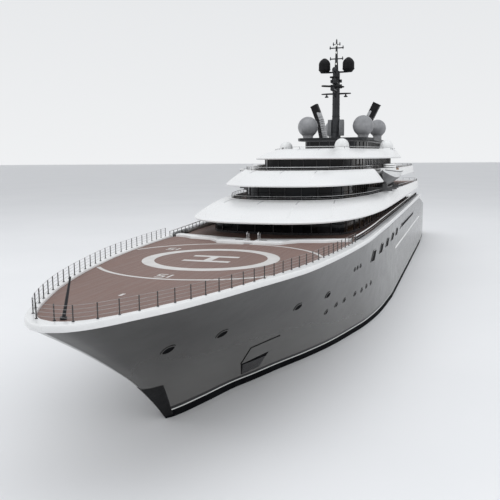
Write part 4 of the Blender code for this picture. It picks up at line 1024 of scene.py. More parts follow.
def shell_skin(letter, count=110):
    table, floor, soffit, rim, bulge = SHELLS[letter]
    low, top = shell_plan(table, count)
    inner_low = inward(low, 0.7)
    inner_low[:, 2] = soffit
    rows = [inner_low, inward(low, 0.12) + [0, 0, 0.0], inward(low, 0.03) + [0, 0, 0.02], low + [0, 0, 0.07]]
    face = shell_face(low, top, bulge, np.linspace(0, 1, 15))
    rows += list(face[:-1])
    rows += [top - [0, 0, 0.05], inward(top, 0.04) - [0, 0, 0.012], inward(top, 0.1), inward(top, rim - 0.06),
             inward(top, rim) - [0, 0, 0.05]]
    deck = inward(top, rim + 0.06)
    deck[:, 2] = floor
    rows.append(deck)
    return np.stack(rows)


def shut(ring):
    """A flat lid over a closed ring that is the same on both sides: rows across the ship."""
    count = len(ring)
    half = count // 2
    port = ring[:half + 1]
    starboard = np.concatenate([ring[:1], ring[:half - 1:-1]])
    share = np.linspace(0, 1, 13)[:, None, None]
    return port[None] * (1 - share) + starboard[None] * share


def seam(letter, y, start, end):
    """A batten over a joint of a shell's panels: a line up the face at one breadth, between two shares
    of its height, given a ring of four points along the face's own normal."""
    table, _, _, _, bulge = SHELLS[letter]
    low, top = shell_plan(table, 400)
    front = np.flatnonzero(low[:, 0] > (5 if letter == "c" else 15))
    at = front[np.argmin(np.abs(low[front, 1] - y))]
    line = shell_face(low[at:at + 1], top[at:at + 1], bulge, np.linspace(start, end, 16))[:, 0]
    ahead = np.gradient(line, axis=0)
    normal = np.cross(np.broadcast_to([0, 1.0, 0], ahead.shape), ahead)
    normal *= np.sign(normal[:, 2:]) / np.linalg.norm(normal, axis=1, keepdims=True)
    return capped(np.stack([line + [0, s * 0.06, 0] + normal * h
                            for s, h in ((-1, -0.01), (-0.6, 0.02), (0.6, 0.02), (1, -0.01))], axis=1))


SEAMS = {"a": (-6.4, -1.7, 3.1, 7.0), "b": (-4.7, -0.55, 3.7), "c": (-1.6, 1.6)}
for letter, places in SEAMS.items():
    rows = shell_skin(letter)
    floor_finish_name = "white_paint" if letter == "c" else "deck_brown"
    piece("shell_" + letter, [("white_paint", [surface(rows, around=True), surface(shut(rows[0]))]),
                              (floor_finish_name, [surface(shut(rows[-1]))]),
                              ("soft_grey", [seam(letter, y, 0.68, 0.93) for y in places]),
                              ("dome_white", [seam(letter, y, 0.15, 0.5) for y in places])],
          replaces="deck_shell_" + letter, sharp=38)
    print("shell", letter, len(rows), "rows of", rows.shape[1])

# %% [markdown]
# ## Glazed houses
# Between the shells the houses are nearly all dark glass: tall panes between slim mullions, over a
# low sill and under a head. The panes are one curved wall, and the mullions are prisms set on it at
# even steps of its length, the way a glazier divides a curved front.

# %% Glass wall with sill, head and mullions
HOUSES = {"1": ([(26.6, 0.0), (26.5, 3.0), (26.0, 5.6), (24.9, 7.3), (22.0, 8.2), (16.0, 8.7), (-38.0, 8.8),
                 (-40.5, 6.0), (-41.0, 0.0)], MAIN_DECK_Z, 12.1, 2.1),
          "2": ([(21.8, 0.0), (21.3, 2.6), (19.8, 4.8), (17.3, 6.1), (14.0, 6.7), (-33.0, 6.7), (-35.5, 4.5),
                 (-36.0, 0.0)], DECK_2_Z, 15.15, 1.9),
          "3": ([(12.8, 0.0), (12.7, 2.4), (12.3, 4.6), (10.5, 5.8), (7.0, 6.4), (4.0, 6.6), (-28.0, 6.6),
                 (-30.5, 4.5), (-31.0, 0.0)], DECK_3_Z, 18.05, 1.7)}
SUN_HOUSE = [(-3.6, 0.0), (-3.9, 3.5), (-6.5, 4.3), (-10.0, 5.0), (-28.0, 5.0), (-30.0, 3.6), (-30.4, 0.0)]


def resample(ring, step):
    """A closed plan ring at even steps of its length, straight between its rows."""
    closed = np.concatenate([ring, ring[:1]])
    reach = np.concatenate([[0], np.cumsum(np.linalg.norm(np.diff(closed, axis=0), axis=1))])
    count = max(8, int(round(reach[-1] / step)))
    at = np.linspace(0, reach[-1], count, endpoint=False)
    return np.stack([np.interp(at, reach, closed[:, k]) for k in range(closed.shape[1])], axis=1)


def plan_ring(table):
    """Closed outline from a port half."""
    half = np.array(table, float)
    return np.concatenate([half, half[-2:0:-1] * [1, -1]])


def offset_plan(ring, distance):
    lifted = inward(np.column_stack([ring, np.zeros(len(ring))]), distance)
    return lifted[:, :2]


def wall(ring, z0, z1, thick):
    """A closed band that stands on a plan ring, thick towards the inside."""
    inner = offset_plan(ring, thick)
    rows = [np.column_stack([p, np.full(len(p), z)]) for p, z in ((ring, z0), (ring, z1), (inner, z1), (inner, z0))]
    return surface(np.stack(rows), around=True, ends=True)


def solid_plan(ring, z0, z1):
    """A closed block on a plan ring, its lids rows across the ship."""
    low, high = np.column_stack([ring, np.full(len(ring), z0)]), np.column_stack([ring, np.full(len(ring), z1)])
    return [surface(np.stack([low, high]), around=True), surface(shut(low)), surface(shut(high))]


def house_parts(table, low, high, step):
    smooth = smooth_outline([(x, y, 0.0) for x, y in table], 90)[:, :2]
    ring = np.concatenate([smooth, smooth[-2:0:-1] * [1, -1]])
    core = solid_plan(offset_plan(ring, 0.1), low + 0.003, high - 0.003)
    sill = wall(offset_plan(ring, 0.02), low + 0.003, low + 0.22, 0.16)
    head = wall(offset_plan(ring, 0.02), high - 0.22, high - 0.003, 0.16)
    posts = resample(offset_plan(ring, 0.06), step)
    ends_low = np.column_stack([posts, np.full(len(posts), low + 0.1)])
    ends_high = np.column_stack([posts, np.full(len(posts), high - 0.1)])
    return core, sill, head, prisms(ends_low, ends_high, 0.045, 0.06, sides=4), posts


def glazed(core, bend_x):
    """The core's panes in two tints: brown where the wall has turned to run fore and aft."""
    tints = {"dark_glass": [], "brown_glass": []}
    for points, faces in core:
        aft = points[faces, 0].mean(axis=1) < bend_x
        tints["dark_glass"].append((points, faces[~aft]))
        tints["brown_glass"].append((points, faces[aft]))
    return list(tints.items())


BEND_X = {"1": 24.5, "2": 17.0, "3": 10.0}
for number, (table, low, high, step) in HOUSES.items():
    core, sill, head, mullions, posts = house_parts(table, low, high, step)
    piece("house_" + number, glazed(core, BEND_X[number]) + [("frame_dark", [sill, head, mullions])],
          replaces="deckhouse_" + number, sharp=30)
    print("house", number, "mullions:", len(posts))
core, sill, head, mullions, posts = house_parts(SUN_HOUSE, ROOF_Z, RADAR_DECK_Z[0], 1.5)
piece("sun_house", [("dark_glass", core), ("frame_dark", [sill, head, mullions])], replaces="sun_deck_house",
      sharp=30)

# %% [markdown]
# ## Rails
# Stanchions stand every two metres or so along each deck's edge with wires or bars between them.
# There are hundreds, so each is a six-sided prism of a single array, and the wires are tubes that
# run through their eyes.

# %% Stanchions and wires along a line
def along_line(line, step):
    """Points at even steps along a line, its ends included."""
    line = np.asarray(line, float)
    reach = np.concatenate([[0], np.cumsum(np.linalg.norm(np.diff(line, axis=0), axis=1))])
    at = np.linspace(0, reach[-1], max(2, int(round(reach[-1] / step)) + 1))
    return np.stack([np.interp(at, reach, line[:, k]) for k in range(line.shape[1])], axis=1)


def rail(line, step, tall, wires, post_radius=0.03, wire_radius=0.012, sides=6, top_radius=None):
    """Posts along a line, wires at the given heights, and a top rail where it has a radius."""
    spots = along_line(line, step)
    posts = prisms(spots, spots + [0, 0, tall], post_radius, sides=sides)
    fine = along_line(line, step / 2)
    strands = [tube(fine + [0, 0, height], wire_radius, 5) for height in wires]
    if top_radius:
        strands.append(tube(fine + [0, 0, tall], top_radius, 6))
    return posts, strands, len(spots)


outer, inner = cap_rows(200)
cap_middle = inner + (outer - inner) * 0.35
cap_spots = np.column_stack([cap_middle, cap_top(cap_middle[:, 0]) - 0.02])
bow_line = cap_spots[(cap_spots[:, 0] > COAMING_SIDE_X) & (cap_spots[:, 1] > 0.3)]
bow_line = np.concatenate([bow_line[::-1], [[65.98, 0.0, CAP_TOP_Z[0] - 0.02]], bow_line * [1, -1, 1]])
BOW_STEP, BOW_TALL = 1.24, 0.87
posts, strands, count = rail(bow_line, BOW_STEP, BOW_TALL, (0.22, 0.44, 0.64, 0.85), 0.036, 0.01)
feet = prisms(along_line(bow_line, BOW_STEP) - [0, 0, 0.02], along_line(bow_line, BOW_STEP) + [0, 0, 0.05], 0.08,
              sides=8)
piece("bow_rail", [("post_dark", [posts, feet]), ("wire_grey", strands)])
print("bow rail posts:", count)

side_line = cap_spots[(cap_spots[:, 0] <= COAMING_SIDE_X)][::-1]
side_line = along_line(np.stack([side_line[:, 0], side_line[:, 1] - 0.25, side_line[:, 2] - 0.08], 1), 1.2)
posts, strands, count = rail(side_line, 1.15, 0.55, (0.25,), 0.04, 0.012, top_radius=0.06)
# Pickets of a ladder screen against the cap's inner wall, where the walkway meets the coaming
screen_x = np.arange(27.2, 31.3, 0.45)
screen_y = read_table(DECK_EDGE, DECK_TIP_X - screen_x) - 0.05
screen = np.stack([screen_x, screen_y, 0 * screen_x + MAIN_DECK_Z], axis=1)
pickets = prisms(screen, screen + [0, 0, 0.5], 0.06, sides=6)
piece("side_rails", [("post_dark", both_sides([posts, pickets])), ("dome_white", both_sides(strands))])
print("side rail posts:", 2 * count)


# %% Rails on the shells
def shell_rail(letter, first_x, last_x, lift, tall, step, wires, inset_by=0.15):
    """Rail line on a shell's top, port half, between two stations."""
    _, top = shell_plan(SHELLS[letter][0], 200)
    line = inward(top, inset_by)[:200]
    line = line[(line[:, 0] <= first_x) & (line[:, 0] >= last_x) & (line[:, 1] >= -0.01)]
    return rail(line + [0, 0, lift], step, tall, wires, 0.026, 0.01, top_radius=0.03)


for letter, first_x, last_x, step in (("a", 27.0, -48.0, 1.6), ("b", 21.0, -42.5, 1.6), ("c", 9.0, -34.0, 1.6)):
    posts, strands, count = shell_rail(letter, first_x, last_x, -0.04, 0.42 if letter != "c" else 0.3, step,
                                       (0.2,))
    piece("rail_" + letter, [("post_dark", both_sides([posts])), ("steel", both_sides(strands))])
    print("rail", letter, 2 * count)

# %% [markdown]
# ## Globes
# The globes are radomes: thin skins that hide turning dishes. Each is two turned halves that meet at
# a bolted flange, on a short drum, so the profile carries a small raised band at its waist.

# %% Radomes
# name, x, y, z of the centre, radius, z of the foot, finish
GLOBES = [("dome_fwd_port", -8.25, 4.35, 22.83, 1.6, RADAR_DECK_Z[1], "dome_grey"),
          ("dome_fwd_stbd", -8.25, -4.35, 22.83, 1.6, RADAR_DECK_Z[1], "dome_grey"),
          ("dome_aft_port", -27.5, 4.1, 23.2, 1.55, RADAR_DECK_Z[1], "dome_grey"),
          ("dome_aft_stbd", -27.5, -4.1, 23.2, 1.55, RADAR_DECK_Z[1], "dome_grey"),
          ("dome_white_centre", 1.0, 2.75, 19.7, 1.03, ROOF_Z, "dome_white"),
          ("dome_white_port", -8.4, 7.95, 19.6, 1.02, ROOF_Z, "dome_white"),
          ("dome_white_stbd", -8.4, -7.95, 19.6, 1.02, ROOF_Z, "dome_white")]


def radome(x, y, z, radius, foot):
    """Profile from the foot up: drum, flange, then r sin a and r cos a, with the band at the waist."""
    base = foot + 0.003 - z
    drum = base < -0.86 * radius
    lowest = -55.0 if drum else math.degrees(math.asin(base / radius))
    angle = np.radians(np.linspace(lowest, 90, 60))
    swell = 0.018 * (np.abs(np.degrees(angle)) < 3.2)
    skin = np.stack([(radius - 0.003) * np.sin(angle), (radius - 0.02 + swell) * np.cos(angle)], axis=1)
    if drum:
        wide = radius * 0.5
        stand = [(base, 0.0), (base, wide + 0.06), (base + 0.06, wide + 0.06), (base + 0.07, wide),
                 (-0.9 * radius, wide), (-0.87 * radius, wide + 0.1), (-0.84 * radius, wide + 0.1)]
    else:
        stand = [(base, 0.0)]
    return turned(np.concatenate([stand, skin]), (x, y, z), sides=64)


for name, x, y, z, radius, foot, finish in GLOBES:
    shell = radome(x, y, z, radius, foot)
    meridians = []
    if finish == "dome_white":
        meridians.append(turned([(foot + 0.003 - z, 0.0), (foot + 0.003 - z, radius + 0.32), (foot + 0.1 - z, radius + 0.3),
                                 (foot + 0.42 - z, radius * 0.97), (foot + 0.42 - z, 0.0)], (x, y, z), sides=64))
    for k in range(8):
        turn = math.pi * (k + 0.5) / 4
        angle = np.radians(np.linspace(-40 if foot == RADAR_DECK_Z[1] else 0, 88, 30))
        reach = radius - 0.012
        path = np.stack([x + reach * np.cos(angle) * math.cos(turn), y + reach * np.cos(angle) * math.sin(turn),
                         z + (reach + 0.004) * np.sin(angle)], axis=1)
        meridians.append(tube(path, 0.012, 4))
    piece("radome" + name[4:], [(finish, [shell] + meridians)], replaces=name,
          sharp=50)
print("radomes:", len(GLOBES))


# %% [markdown]
# ## Mast, scanners and funnels
# The mast is an oval column on a flared foot between two fins, with yards, brackets, scanners and
# capsule radomes. Turned and lofted parts share one piece, because it is welded up as one.

# %% Mast
def oval_column(rows, centre, count=48):
    """Rows of height, half length and half breadth, each an ellipse, read smoothly between them."""
    rows = np.array(rows, float)
    z = np.linspace(rows[0, 0], rows[-1, 0], 70)
    long, wide = read_table([tuple(r[:2]) for r in rows], z), read_table([(r[0], r[2]) for r in rows], z)
    turn = np.linspace(0, 2 * np.pi, count, endpoint=False)
    return capped(np.stack([centre[0] + long[:, None] * np.cos(turn), centre[1] + wide[:, None] * np.sin(turn),
                            z[:, None] + 0 * turn], axis=-1))


def plate_between(outline, y0, y1):
    """A flat closed plate in a fore-and-aft plane: the outline's x and z at two breadths."""
    outline = np.array(outline, float)
    rings = np.stack([np.column_stack([outline[:, 0], np.full(len(outline), y), outline[:, 1]]) for y in (y0, y1)])
    return capped(rings)


deck_top = RADAR_DECK_Z[1] + 0.003
mast_parts = [oval_column([(deck_top, 1.7, 0.74), (22.0, 1.3, 0.66), (23.9, 0.75, 0.62), (24.2, 0.62, 0.58),
                           (30.9, 0.58, 0.55), (31.3, 0.5, 0.45)], (MAST_X, 0))]
for low, high, wide in ((21.9, 22.02, 0.07), (24.3, 24.42, 0.06), (26.2, 26.3, 0.05), (28.75, 28.85, 0.05)):
    size = float(np.interp(low, [21.0, 22.0, 23.9, 24.2, 30.9], [1.5, 1.3, 0.75, 0.62, 0.58]))
    breadth = min(size * 0.9, 0.64) + wide
    mast_parts.append(oval_column([(low, size + wide, breadth), (high, size + wide, breadth)], (MAST_X, 0)))
fin_parts = []
for side in (1, -1):
    near, far = sorted((side * 0.62, side * 1.2))
    fin_parts.append(plate_between([(MAST_X - 0.7, deck_top + 0.4), (MAST_X + 0.7, deck_top + 0.4),
                                    (MAST_X + 0.66, 23.2), (MAST_X + 0.35, 23.88), (MAST_X - 0.5, 23.88),
                                    (MAST_X - 0.7, 23.3)], near, far))
    mast_parts.append(turned([(0, 0.0), (0.01, 0.24), (0.07, 0.32), (0.14, 0.3), (0.24, 0.14), (0.5, 0.08), (0.5, 0.0)],
                             (MAST_X, side * 1.5, 27.3), sides=24))
yard = [(27.72, 27.98, 2.3, 0.25), (31.0, 31.25, 2.45, 0.35)]
for low, high, reach, wide in yard:
    y = np.linspace(-reach, reach, 40)[:, None]
    turn = np.linspace(0, 2 * np.pi, 16, endpoint=False)[None, :]
    slim = np.sqrt(np.maximum(0.05, 1 - 0.6 * (y / reach) ** 4))
    mast_parts.append(capped(np.stack([MAST_X + wide * slim * np.cos(turn), y + 0 * turn,
                                       (low + high) / 2 + (high - low) / 2 * slim * np.sin(turn)], axis=-1)))
mast_parts.append(box((MAST_X, -0.3, 28.1), (RADAR_X + 0.45, 0.3, 28.346)))
mast_parts.append(box((MAST_X, -0.45, 29.3), (UPPER_RADAR_X + 0.3, 0.45, 29.496)))
for x, z in ((RADAR_X, 28.1), (UPPER_RADAR_X, 29.3)):
    mast_parts.append(plate_between([(MAST_X + 0.4, z - 0.9), (x + 0.1, z - 0.02), (x + 0.1, z + 0.02),
                                     (MAST_X + 0.4, z + 0.02)], -0.06, 0.06))
pod = round_profile([(0, 0.0), (0.0, 0.55), (0.22, 0.8), (0.4, 0.9), (1.25, 0.9), (1.7, 0.72), (2.0, 0.4),
                     (2.14, 0.15), (2.15, 0.0)], 50)
pod_parts = []
for side in (1, -1):
    pod_parts.append(turned(pod, (MAST_X, side * 1.87, 31.15), sides=48))
    pod_parts.append(turned([(0.36, 0.9), (0.36, 0.935), (0.46, 0.935), (0.46, 0.9)],
                            (MAST_X, side * 1.87, 31.15), sides=48))
rungs = np.linspace(22.4, 30.6, 28)
ladder_x = MAST_X - np.interp(rungs, [22.0, 24.2, 30.9], [1.45, 0.78, 0.74])
left = np.stack([ladder_x, 0 * rungs - 0.18, rungs], 1)
ladder = [prisms(left, left + [0, 0.36, 0], 0.018, sides=6), tube(left, 0.025, 6), tube(left + [0, 0.36, 0], 0.025, 6)]
gear = []
# Lamp boxes and small antennas round the upper column: place, half sizes
for x, y, z, long, wide, tall in ((0.42, 0.42, 30.3, 0.22, 0.2, 0.32), (0.42, -0.42, 30.1, 0.22, 0.2, 0.3),
                                  (0.1, 0.72, 29.75, 0.26, 0.18, 0.22), (0.1, -0.72, 29.75, 0.26, 0.18, 0.22),
                                  (0.66, 0.0, 29.15, 0.16, 0.3, 0.16), (0.0, 0.74, 28.95, 0.2, 0.16, 0.3),
                                  (0.0, -0.74, 28.95, 0.2, 0.16, 0.3)):
    section = cut_corners(np.array([(-long, -wide), (long, -wide), (long, wide), (-long, wide)]), 2) + [MAST_X + x, y]
    gear.append(capped(np.stack([np.column_stack([section, np.full(len(section), h)]) for h in (z - tall, z + tall)])))
gear.append(turned([(0, 0.0), (0, 0.22), (0.1, 0.36), (0.4, 0.4), (0.66, 0.27), (0.8, 0.0)], (UPPER_RADAR_X, 0, 31.0),
                   sides=32))
gear.append(prisms((MAST_X + 0.4, 0, 30.9), (UPPER_RADAR_X, 0, 31.05), 0.07, sides=8))
piece("mast_column", [("mast_grey", mast_parts), ("deck_grey", fin_parts), ("black_paint", pod_parts),
                      ("post_dark", ladder), ("mast_grey", gear)], replaces="mast", sharp=40)

top = 31.303
top_parts = [turned([(0, 0.0), (0, 0.3), (0.12, 0.3), (1.6, 0.22), (3.2, 0.16), (4.7, 0.1), (4.8, 0.0)],
                    (MAST_X, 0, top), sides=24)]
for z, reach, thick in ((33.14, 1.05, 0.09), (34.77, 1.1, 0.09), (35.3, 0.6, 0.05)):
    top_parts.append(prisms((MAST_X, -reach, z), (MAST_X, reach, z), thick, sides=10, taper=1.0))
    for side in (1, -1):
        top_parts.append(turned([(-0.2, 0.0), (-0.2, 0.06), (0.1, 0.09), (0.32, 0.05), (0.34, 0.0)],
                                (MAST_X, side * (reach - 0.1), z), sides=12))
lamps = [turned([(0, 0.0), (0, 0.1), (0.2, 0.11), (0.3, 0.06), (0.31, 0.0)], (MAST_X + 0.28, 0, z), sides=16)
         for z in (32.2, 33.9, 35.0)]
piece("mast_top", [("mast_grey", top_parts), ("lamp_glass", lamps)], replaces="topmast")
print("mast faces so far:", COUNT["faces"])

# %% Scanners
# name, body, x, z of the turning face, height of the hub, half length, turn at rest in degrees
SCANNERS = [("radar_scanner_main", "radar_main", RADAR_X, 28.35, 0.3, 2.0, 40.0),
            ("radar_scanner_upper", "radar_upper", UPPER_RADAR_X, 29.5, 0.65, 0.75, 20.0)]


def scanner(x, seat, tall, reach, turn):
    """A turning hub with a long bar antenna: the bar's ring is a rounded box, narrower at its ends."""
    hub = turned([(0.003, 0.0), (0.003, 0.21), (0.1, 0.22), (tall * 0.7, 0.2), (tall, 0.12), (tall, 0.0)],
                 (x, 0, seat), sides=32)
    along = np.linspace(-reach, reach, 30)
    ends = np.sqrt(np.clip(1 - (np.abs(along) / reach) ** 14, 0.02, 1))
    corners = cut_corners(np.array([[-0.14, -0.08], [0.14, -0.08], [0.12, 0.2], [-0.12, 0.2]]), 2)
    middle = np.array([0.0, 0.06])
    section = (corners - middle) * ends[:, None, None] + middle
    spin = math.radians(turn)
    across = section[..., 0]
    bar = np.stack([x + across * math.cos(spin) - along[:, None] * math.sin(spin),
                    across * math.sin(spin) + along[:, None] * math.cos(spin),
                    seat + tall + section[..., 1]], axis=-1)
    return hub, capped(bar)


for name, body, x, seat, tall, reach, turn in SCANNERS:
    hub, bar = scanner(x, seat, tall, reach, turn)
    piece(name + "_bar", [("mast_grey", [hub]), ("black_paint", [bar])], body=body, replaces=name,
          sharp=40)


# %% [markdown]
# ### Funnels
# Two slabs lean outboard and aft. Their plan is a rounded square that shrinks and slides along a
# bent line, so each is a loft between three stations with the corners cut smooth.

# %% Funnels
STATIONS = [(-15.6, 3.3, deck_top, 1.2, 0.62, 0.0), (-16.2, 4.15, 24.2, 1.0, 0.58, 0.25),
            (-17.0, 5.3, 26.8, 0.9, 0.58, 0.28)]
corner = [(-1, -0.7), (-0.7, -1), (0.7, -1), (1, -0.7), (1, 0.7), (0.7, 1), (-0.7, 1), (-1, 0.7)]
soft_corner = cut_corners(np.array(corner, float), 2)
for side, word in ((1, "port"), (-1, "stbd")):
    rows = np.array(STATIONS)
    z = np.linspace(rows[0, 2], rows[-1, 2], 40)
    read = [np.interp(z, rows[:, 2], rows[:, k]) for k in (0, 1, 3, 4, 5)]
    x, y, long, wide, drop = [r[:, None] for r in read]
    ring = np.stack([x + long * soft_corner[:, 0], side * (y + wide * soft_corner[:, 1]),
                     z[:, None] - drop * soft_corner[:, 1]], axis=-1)
    casing, casing_faces = capped(ring)
    # Black outboard and over the top 1.2 m, a pale slatted wall low down inboard
    middles = casing[casing_faces].mean(axis=1)
    axis_y = np.interp(middles[:, 2], rows[:, 2], rows[:, 1])
    pale = (side * middles[:, 1] < axis_y - 0.12) & (middles[:, 2] < STATIONS[-1][2] - 1.25)
    bands = []
    for share in np.arange(0.08, 0.62, 0.06):
        at = int(share * 39)
        centre = ring[at].mean(0)
        bands.append(capped(np.stack([(ring[at] - centre) * 1.02 + centre + [0, 0, dz] for dz in (-0.04, 0.04)])))
    mouth = ring[-1]
    centre = mouth.mean(0)
    lip = surface(np.stack([mouth - [0, 0, 0.12], (mouth - centre) * 1.03 + centre - [0, 0, 0.1],
                            (mouth - centre) * 1.03 + centre - [0, 0, 0.006], (mouth - centre) * 0.86 + centre - [0, 0, 0.006],
                            (mouth - centre) * 0.86 + centre - [0, 0, 0.12]]), around=True, ends=True)
    pipes = []
    for k in range(3):
        spot = centre + [0.5 * (k - 1), 0, 0]
        pipes.append(turned([(-0.3, 0.0), (-0.3, 0.2), (-0.03, 0.2), (-0.03, 0.15), (-0.2, 0.15), (-0.2, 0.0)],
                            spot, (0, 0, 1), 20))
    piece("funnel_" + word + "_casing", [("black_paint", [(casing, casing_faces[~pale]), lip]),
                                         ("soft_grey", [(casing, casing_faces[pale])]), ("frame_dark", bands),
                                         ("steel", pipes)], replaces="funnel_" + word, sharp=40)


# %% [markdown]
# ## Boats on their cradles
# Each tender is a small hull lofted from keel, chine and gunwale curves, with a cabin, windows, a
# rubbing strip and an open cockpit. It rides with its cradle, so it slides outboard with it.

# %% Tenders
TENDER = [(-4.2, 1.45, 14.35, 16.2), (1.0, 1.6, 14.25, 16.25), (4.6, 1.5, 14.4, 16.35),
          (7.2, 1.0, 14.95, 16.5), (8.9, 0.2, 15.8, 16.65)]
TENDER_Y = 9.45


def tender_rings(side):
    x = np.linspace(TENDER[0][0], TENDER[-1][0], 60)
    wide, keel, gunwale = [read_table(TENDER, x, k)[:, None] for k in (1, 2, 3)]
    outline = np.array([(0.0, 0.0, 0), (0.45, 0.25, 0), (0.8, 0.5, 0), (0.93, 0.75, 0), (0.99, 0.93, 0),
                        (0.96, 1.0, 0), (0.86, 1.0, 0), (0.4, 1.0, 0), (0.0, 1.0, 0)])
    full = np.concatenate([outline, outline[-2:0:-1] * [-1, 1, 0]])
    y = side * TENDER_Y + wide * full[:, 0]
    z = keel + (gunwale - keel) * full[:, 1]
    return np.stack([x[:, None] + 0 * y, y, z], axis=-1)


for side, word in ((1, "port"), (-1, "stbd")):
    centre = side * TENDER_Y
    shell, shell_faces = capped(tender_rings(side))
    # White topsides over a grey bottom, the grey a painted shade where the hull turns under: the line lies at 0.62 of
    # the way from keel to gunwale
    middles = shell[shell_faces].mean(axis=1)
    line_z = read_table(TENDER, middles[:, 0], 2) * 0.38 + read_table(TENDER, middles[:, 0], 3) * 0.62
    painted_shade_bottom = middles[:, 2] < line_z
    x = np.linspace(-4.1, 8.6, 60)
    strip = []
    for hand in (1, -1):
        wide, gunwale = read_table(TENDER, x, 1), read_table(TENDER, x, 3)
        strip.append(tube(np.stack([x, centre + hand * wide * 0.985, gunwale - 0.22], 1), 0.045, 8))
    cabin_low, cabin_high = 16.2, 17.09
    z = np.linspace(0, 1, 10)
    plan = np.array([(-2.0, -0.84), (2.2, -0.84), (3.3, -0.5), (3.3, 0.5), (2.2, 0.84), (-2.0, 0.84)])
    soft_plan = cut_corners(plan, 2)
    shrink = 1 - 0.16 * z**2
    middle = soft_plan.mean(0)
    rings = np.stack([np.column_stack([(soft_plan - middle) * s + middle, np.full(len(soft_plan), cabin_low + h * (
        cabin_high - cabin_low))]) for s, h in zip(shrink, z)]) + [0, centre, 0]
    cabin = capped(rings)
    band_rows = []
    for s, h, grow in ((1, 0.42, 1.004), (1, 0.8, 1.004), (1, 0.8, 0.96), (1, 0.42, 0.96)):
        size = (1 - 0.16 * h**2) * grow
        band_rows.append(np.column_stack([(soft_plan - middle) * size + middle,
                                          np.full(len(soft_plan), cabin_low + h * (cabin_high - cabin_low))]))
    glass = surface(np.stack(band_rows) + [0, centre, 0], around=True, ends=True)
    seats = [box((-3.6, centre - 0.9, 16.18), (-2.3, centre + 0.9, 16.42)),
             box((4.0, centre - 0.6, 16.3), (5.4, centre + 0.6, 16.42))]
    motors = [turned([(0, 0.0), (0, 0.2), (0.45, 0.22), (0.6, 0.12), (0.62, 0.0)], (-3.95, centre + k, 15.95), sides=16)
              for k in (-0.45, 0.45)]
    piece("tender_" + word + "_boat", [("white_paint", [(shell, shell_faces[~painted_shade_bottom]), cabin]),
                                       ("cradle_grey", [(shell, shell_faces[painted_shade_bottom])]), ("dark_glass", [glass]),
                                       ("rubber", strip), ("teak", seats), ("black_paint", motors)],
          body="boat_davit_" + word, replaces="tender_" + word, sharp=42)

# %% Cradle posts on deck two
DAVIT_X = (-3.2, 5.6)
POST_TOP = 13.56
posts = []
for x in DAVIT_X:
    posts.append(box((x - 0.25, 7.0, DECK_2_Z), (x + 0.25, 8.6, POST_TOP)))
piece("cradle_posts", [("cradle_grey", both_sides(posts))])

# %% [markdown]
# ## Finishing what the CAD still shows
# Solids whose form is right are kept and only repainted: each gets the procedural finish of its slot.

# %% Finishes for the CAD nodes
NODE_FINISH = {"mast": "mast_grey", "topmast": "mast_grey", "radar_deck": "mast_grey", "jackstaff": "mast_grey",
               "aft_deck": "white_paint", "swim_platform": "teak", "stern_door": "hull_paint",
               "shaft_port": "steel", "shaft_stbd": "steel", "propeller_port": "bronze",
               "propeller_stbd": "bronze", "davit_port": "cradle_grey", "davit_stbd": "cradle_grey",
               "davit_stage_port": "cradle_grey", "davit_stage_stbd": "cradle_grey"}
for name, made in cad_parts.items():
    finish = NODE_FINISH.get(name)
    if finish is None:
        own = made.data.materials[0].name.split(".")[0] if made.data.materials else "white_paint"
        finish = own if own in MATERIALS else "white_paint"
    for place in range(max(1, len(made.data.materials))):
        if made.data.materials:
            made.data.materials[place] = MATERIALS[finish]
        else:
            made.data.materials.append(MATERIALS[finish])


# %% [markdown]
# ## Camera, light and floor
# The camera was solved from the ship's own lines: its height above the water, its heading along the
# deck and the focal length that sets how fast the decks converge. The floor is the waterline.

# %% Camera
HEADING, PITCH, ROLL = math.radians(198.39008), math.radians(8.26649), math.radians(-0.52998)
EYE = (9.27144, 1.93276, 1.82082)
ahead = Vector((math.cos(HEADING) * math.cos(PITCH), math.sin(HEADING) * math.cos(PITCH), -math.sin(PITCH)))
level_right = Vector((math.sin(HEADING), -math.cos(HEADING), 0))
level_up = level_right.cross(ahead)
right = math.cos(ROLL) * level_right + math.sin(ROLL) * level_up
up = -math.sin(ROLL) * level_right + math.cos(ROLL) * level_up
lens = bpy.data.cameras.new("photo_view")
lens.lens, lens.sensor_width, lens.clip_start, lens.clip_end = 46.08, 36.0, 0.05, 500.0
camera = bpy.data.objects.new("photo_view", lens)
camera.matrix_world = Matrix((right, up, -ahead)).transposed().to_4x4()
camera.location = EYE
bpy.context.scene.collection.objects.link(camera)
bpy.context.scene.camera = camera
bpy.context.scene.view_settings.view_transform = "Standard"


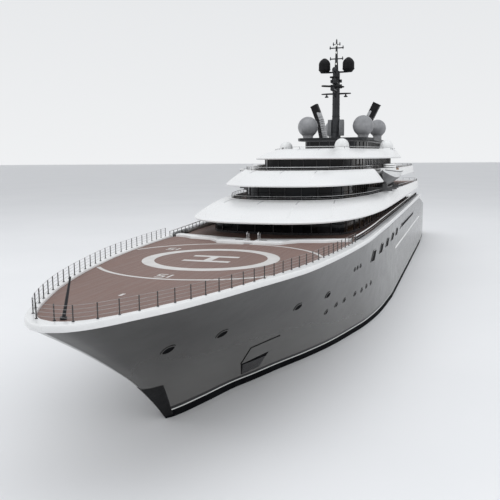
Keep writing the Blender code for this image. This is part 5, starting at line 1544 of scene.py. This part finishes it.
# %% Floor at the waterline
def floor_finish():
    tree, shader = start_finish("floor", (0.78, 0.78, 0.79), 0.55)
    place = node(tree, "ShaderNodeTexCoord").outputs["Object"]
    colour = shades(tree, noise(tree, place, 0.35, 4.0), (0.74, 0.745, 0.755), (0.82, 0.82, 0.825))
    wire(tree, shader, colour=colour)


floor_finish()
reach = 160.0
floor_mesh = bpy.data.meshes.new("floor")
floor_mesh.from_pydata([(-reach, -reach, 0), (reach, -reach, 0), (reach, reach, 0), (-reach, reach, 0)], [],
                       [(0, 1, 2, 3)])
floor_mesh.materials.append(MATERIALS["floor"])
floor = bpy.data.objects.new("floor", floor_mesh)
bpy.context.scene.collection.objects.link(floor)


# %% Soft studio light
def soft_box(name, place, aim, width, height, power, tint=(1.0, 1.0, 1.0)):
    light = bpy.data.lights.new(name, "AREA")
    light.shape, light.size, light.size_y, light.energy, light.color = "RECTANGLE", width, height, power, tint
    made = bpy.data.objects.new(name, light)
    made.location = place
    made.rotation_euler = (Vector(aim) - Vector(place)).to_track_quat("-Z", "Y").to_euler()
    bpy.context.scene.collection.objects.link(made)


soft_box("overhead", (2.0, 1.0, 14.0), (0, 0, 1.0), 22.0, 16.0, 1180.0, (0.97, 0.985, 1.0))
soft_box("port_wash", (14.0, 12.0, 8.0), (0.0, 0, 1.2), 12.0, 8.0, 450.0)
soft_box("starboard_fill", (10.0, -14.0, 7.0), (0, 0, 1.0), 12.0, 6.0, 300.0)
world = bpy.context.scene.world or bpy.data.worlds.new("studio")
bpy.context.scene.world = world
world.use_nodes = True
sky = world.node_tree
sky.nodes.clear()
sky_out = node(sky, "ShaderNodeOutputWorld")
ramp_place = split(sky, node(sky, "ShaderNodeTexCoord").outputs["Generated"])[2]
tone = blend_colour(sky, remap(sky, ramp_place, -0.1, 0.9, 0.0, 1.0), (0.94, 0.95, 0.96), (0.66, 0.68, 0.71))
sky.links.new(node(sky, "ShaderNodeBackground", {"Color": tone, "Strength": 0.95}).outputs[0],
              sky_out.inputs["Surface"])


# %% Sizes
print("pieces:", COUNT["pieces"], "faces:", COUNT["faces"])
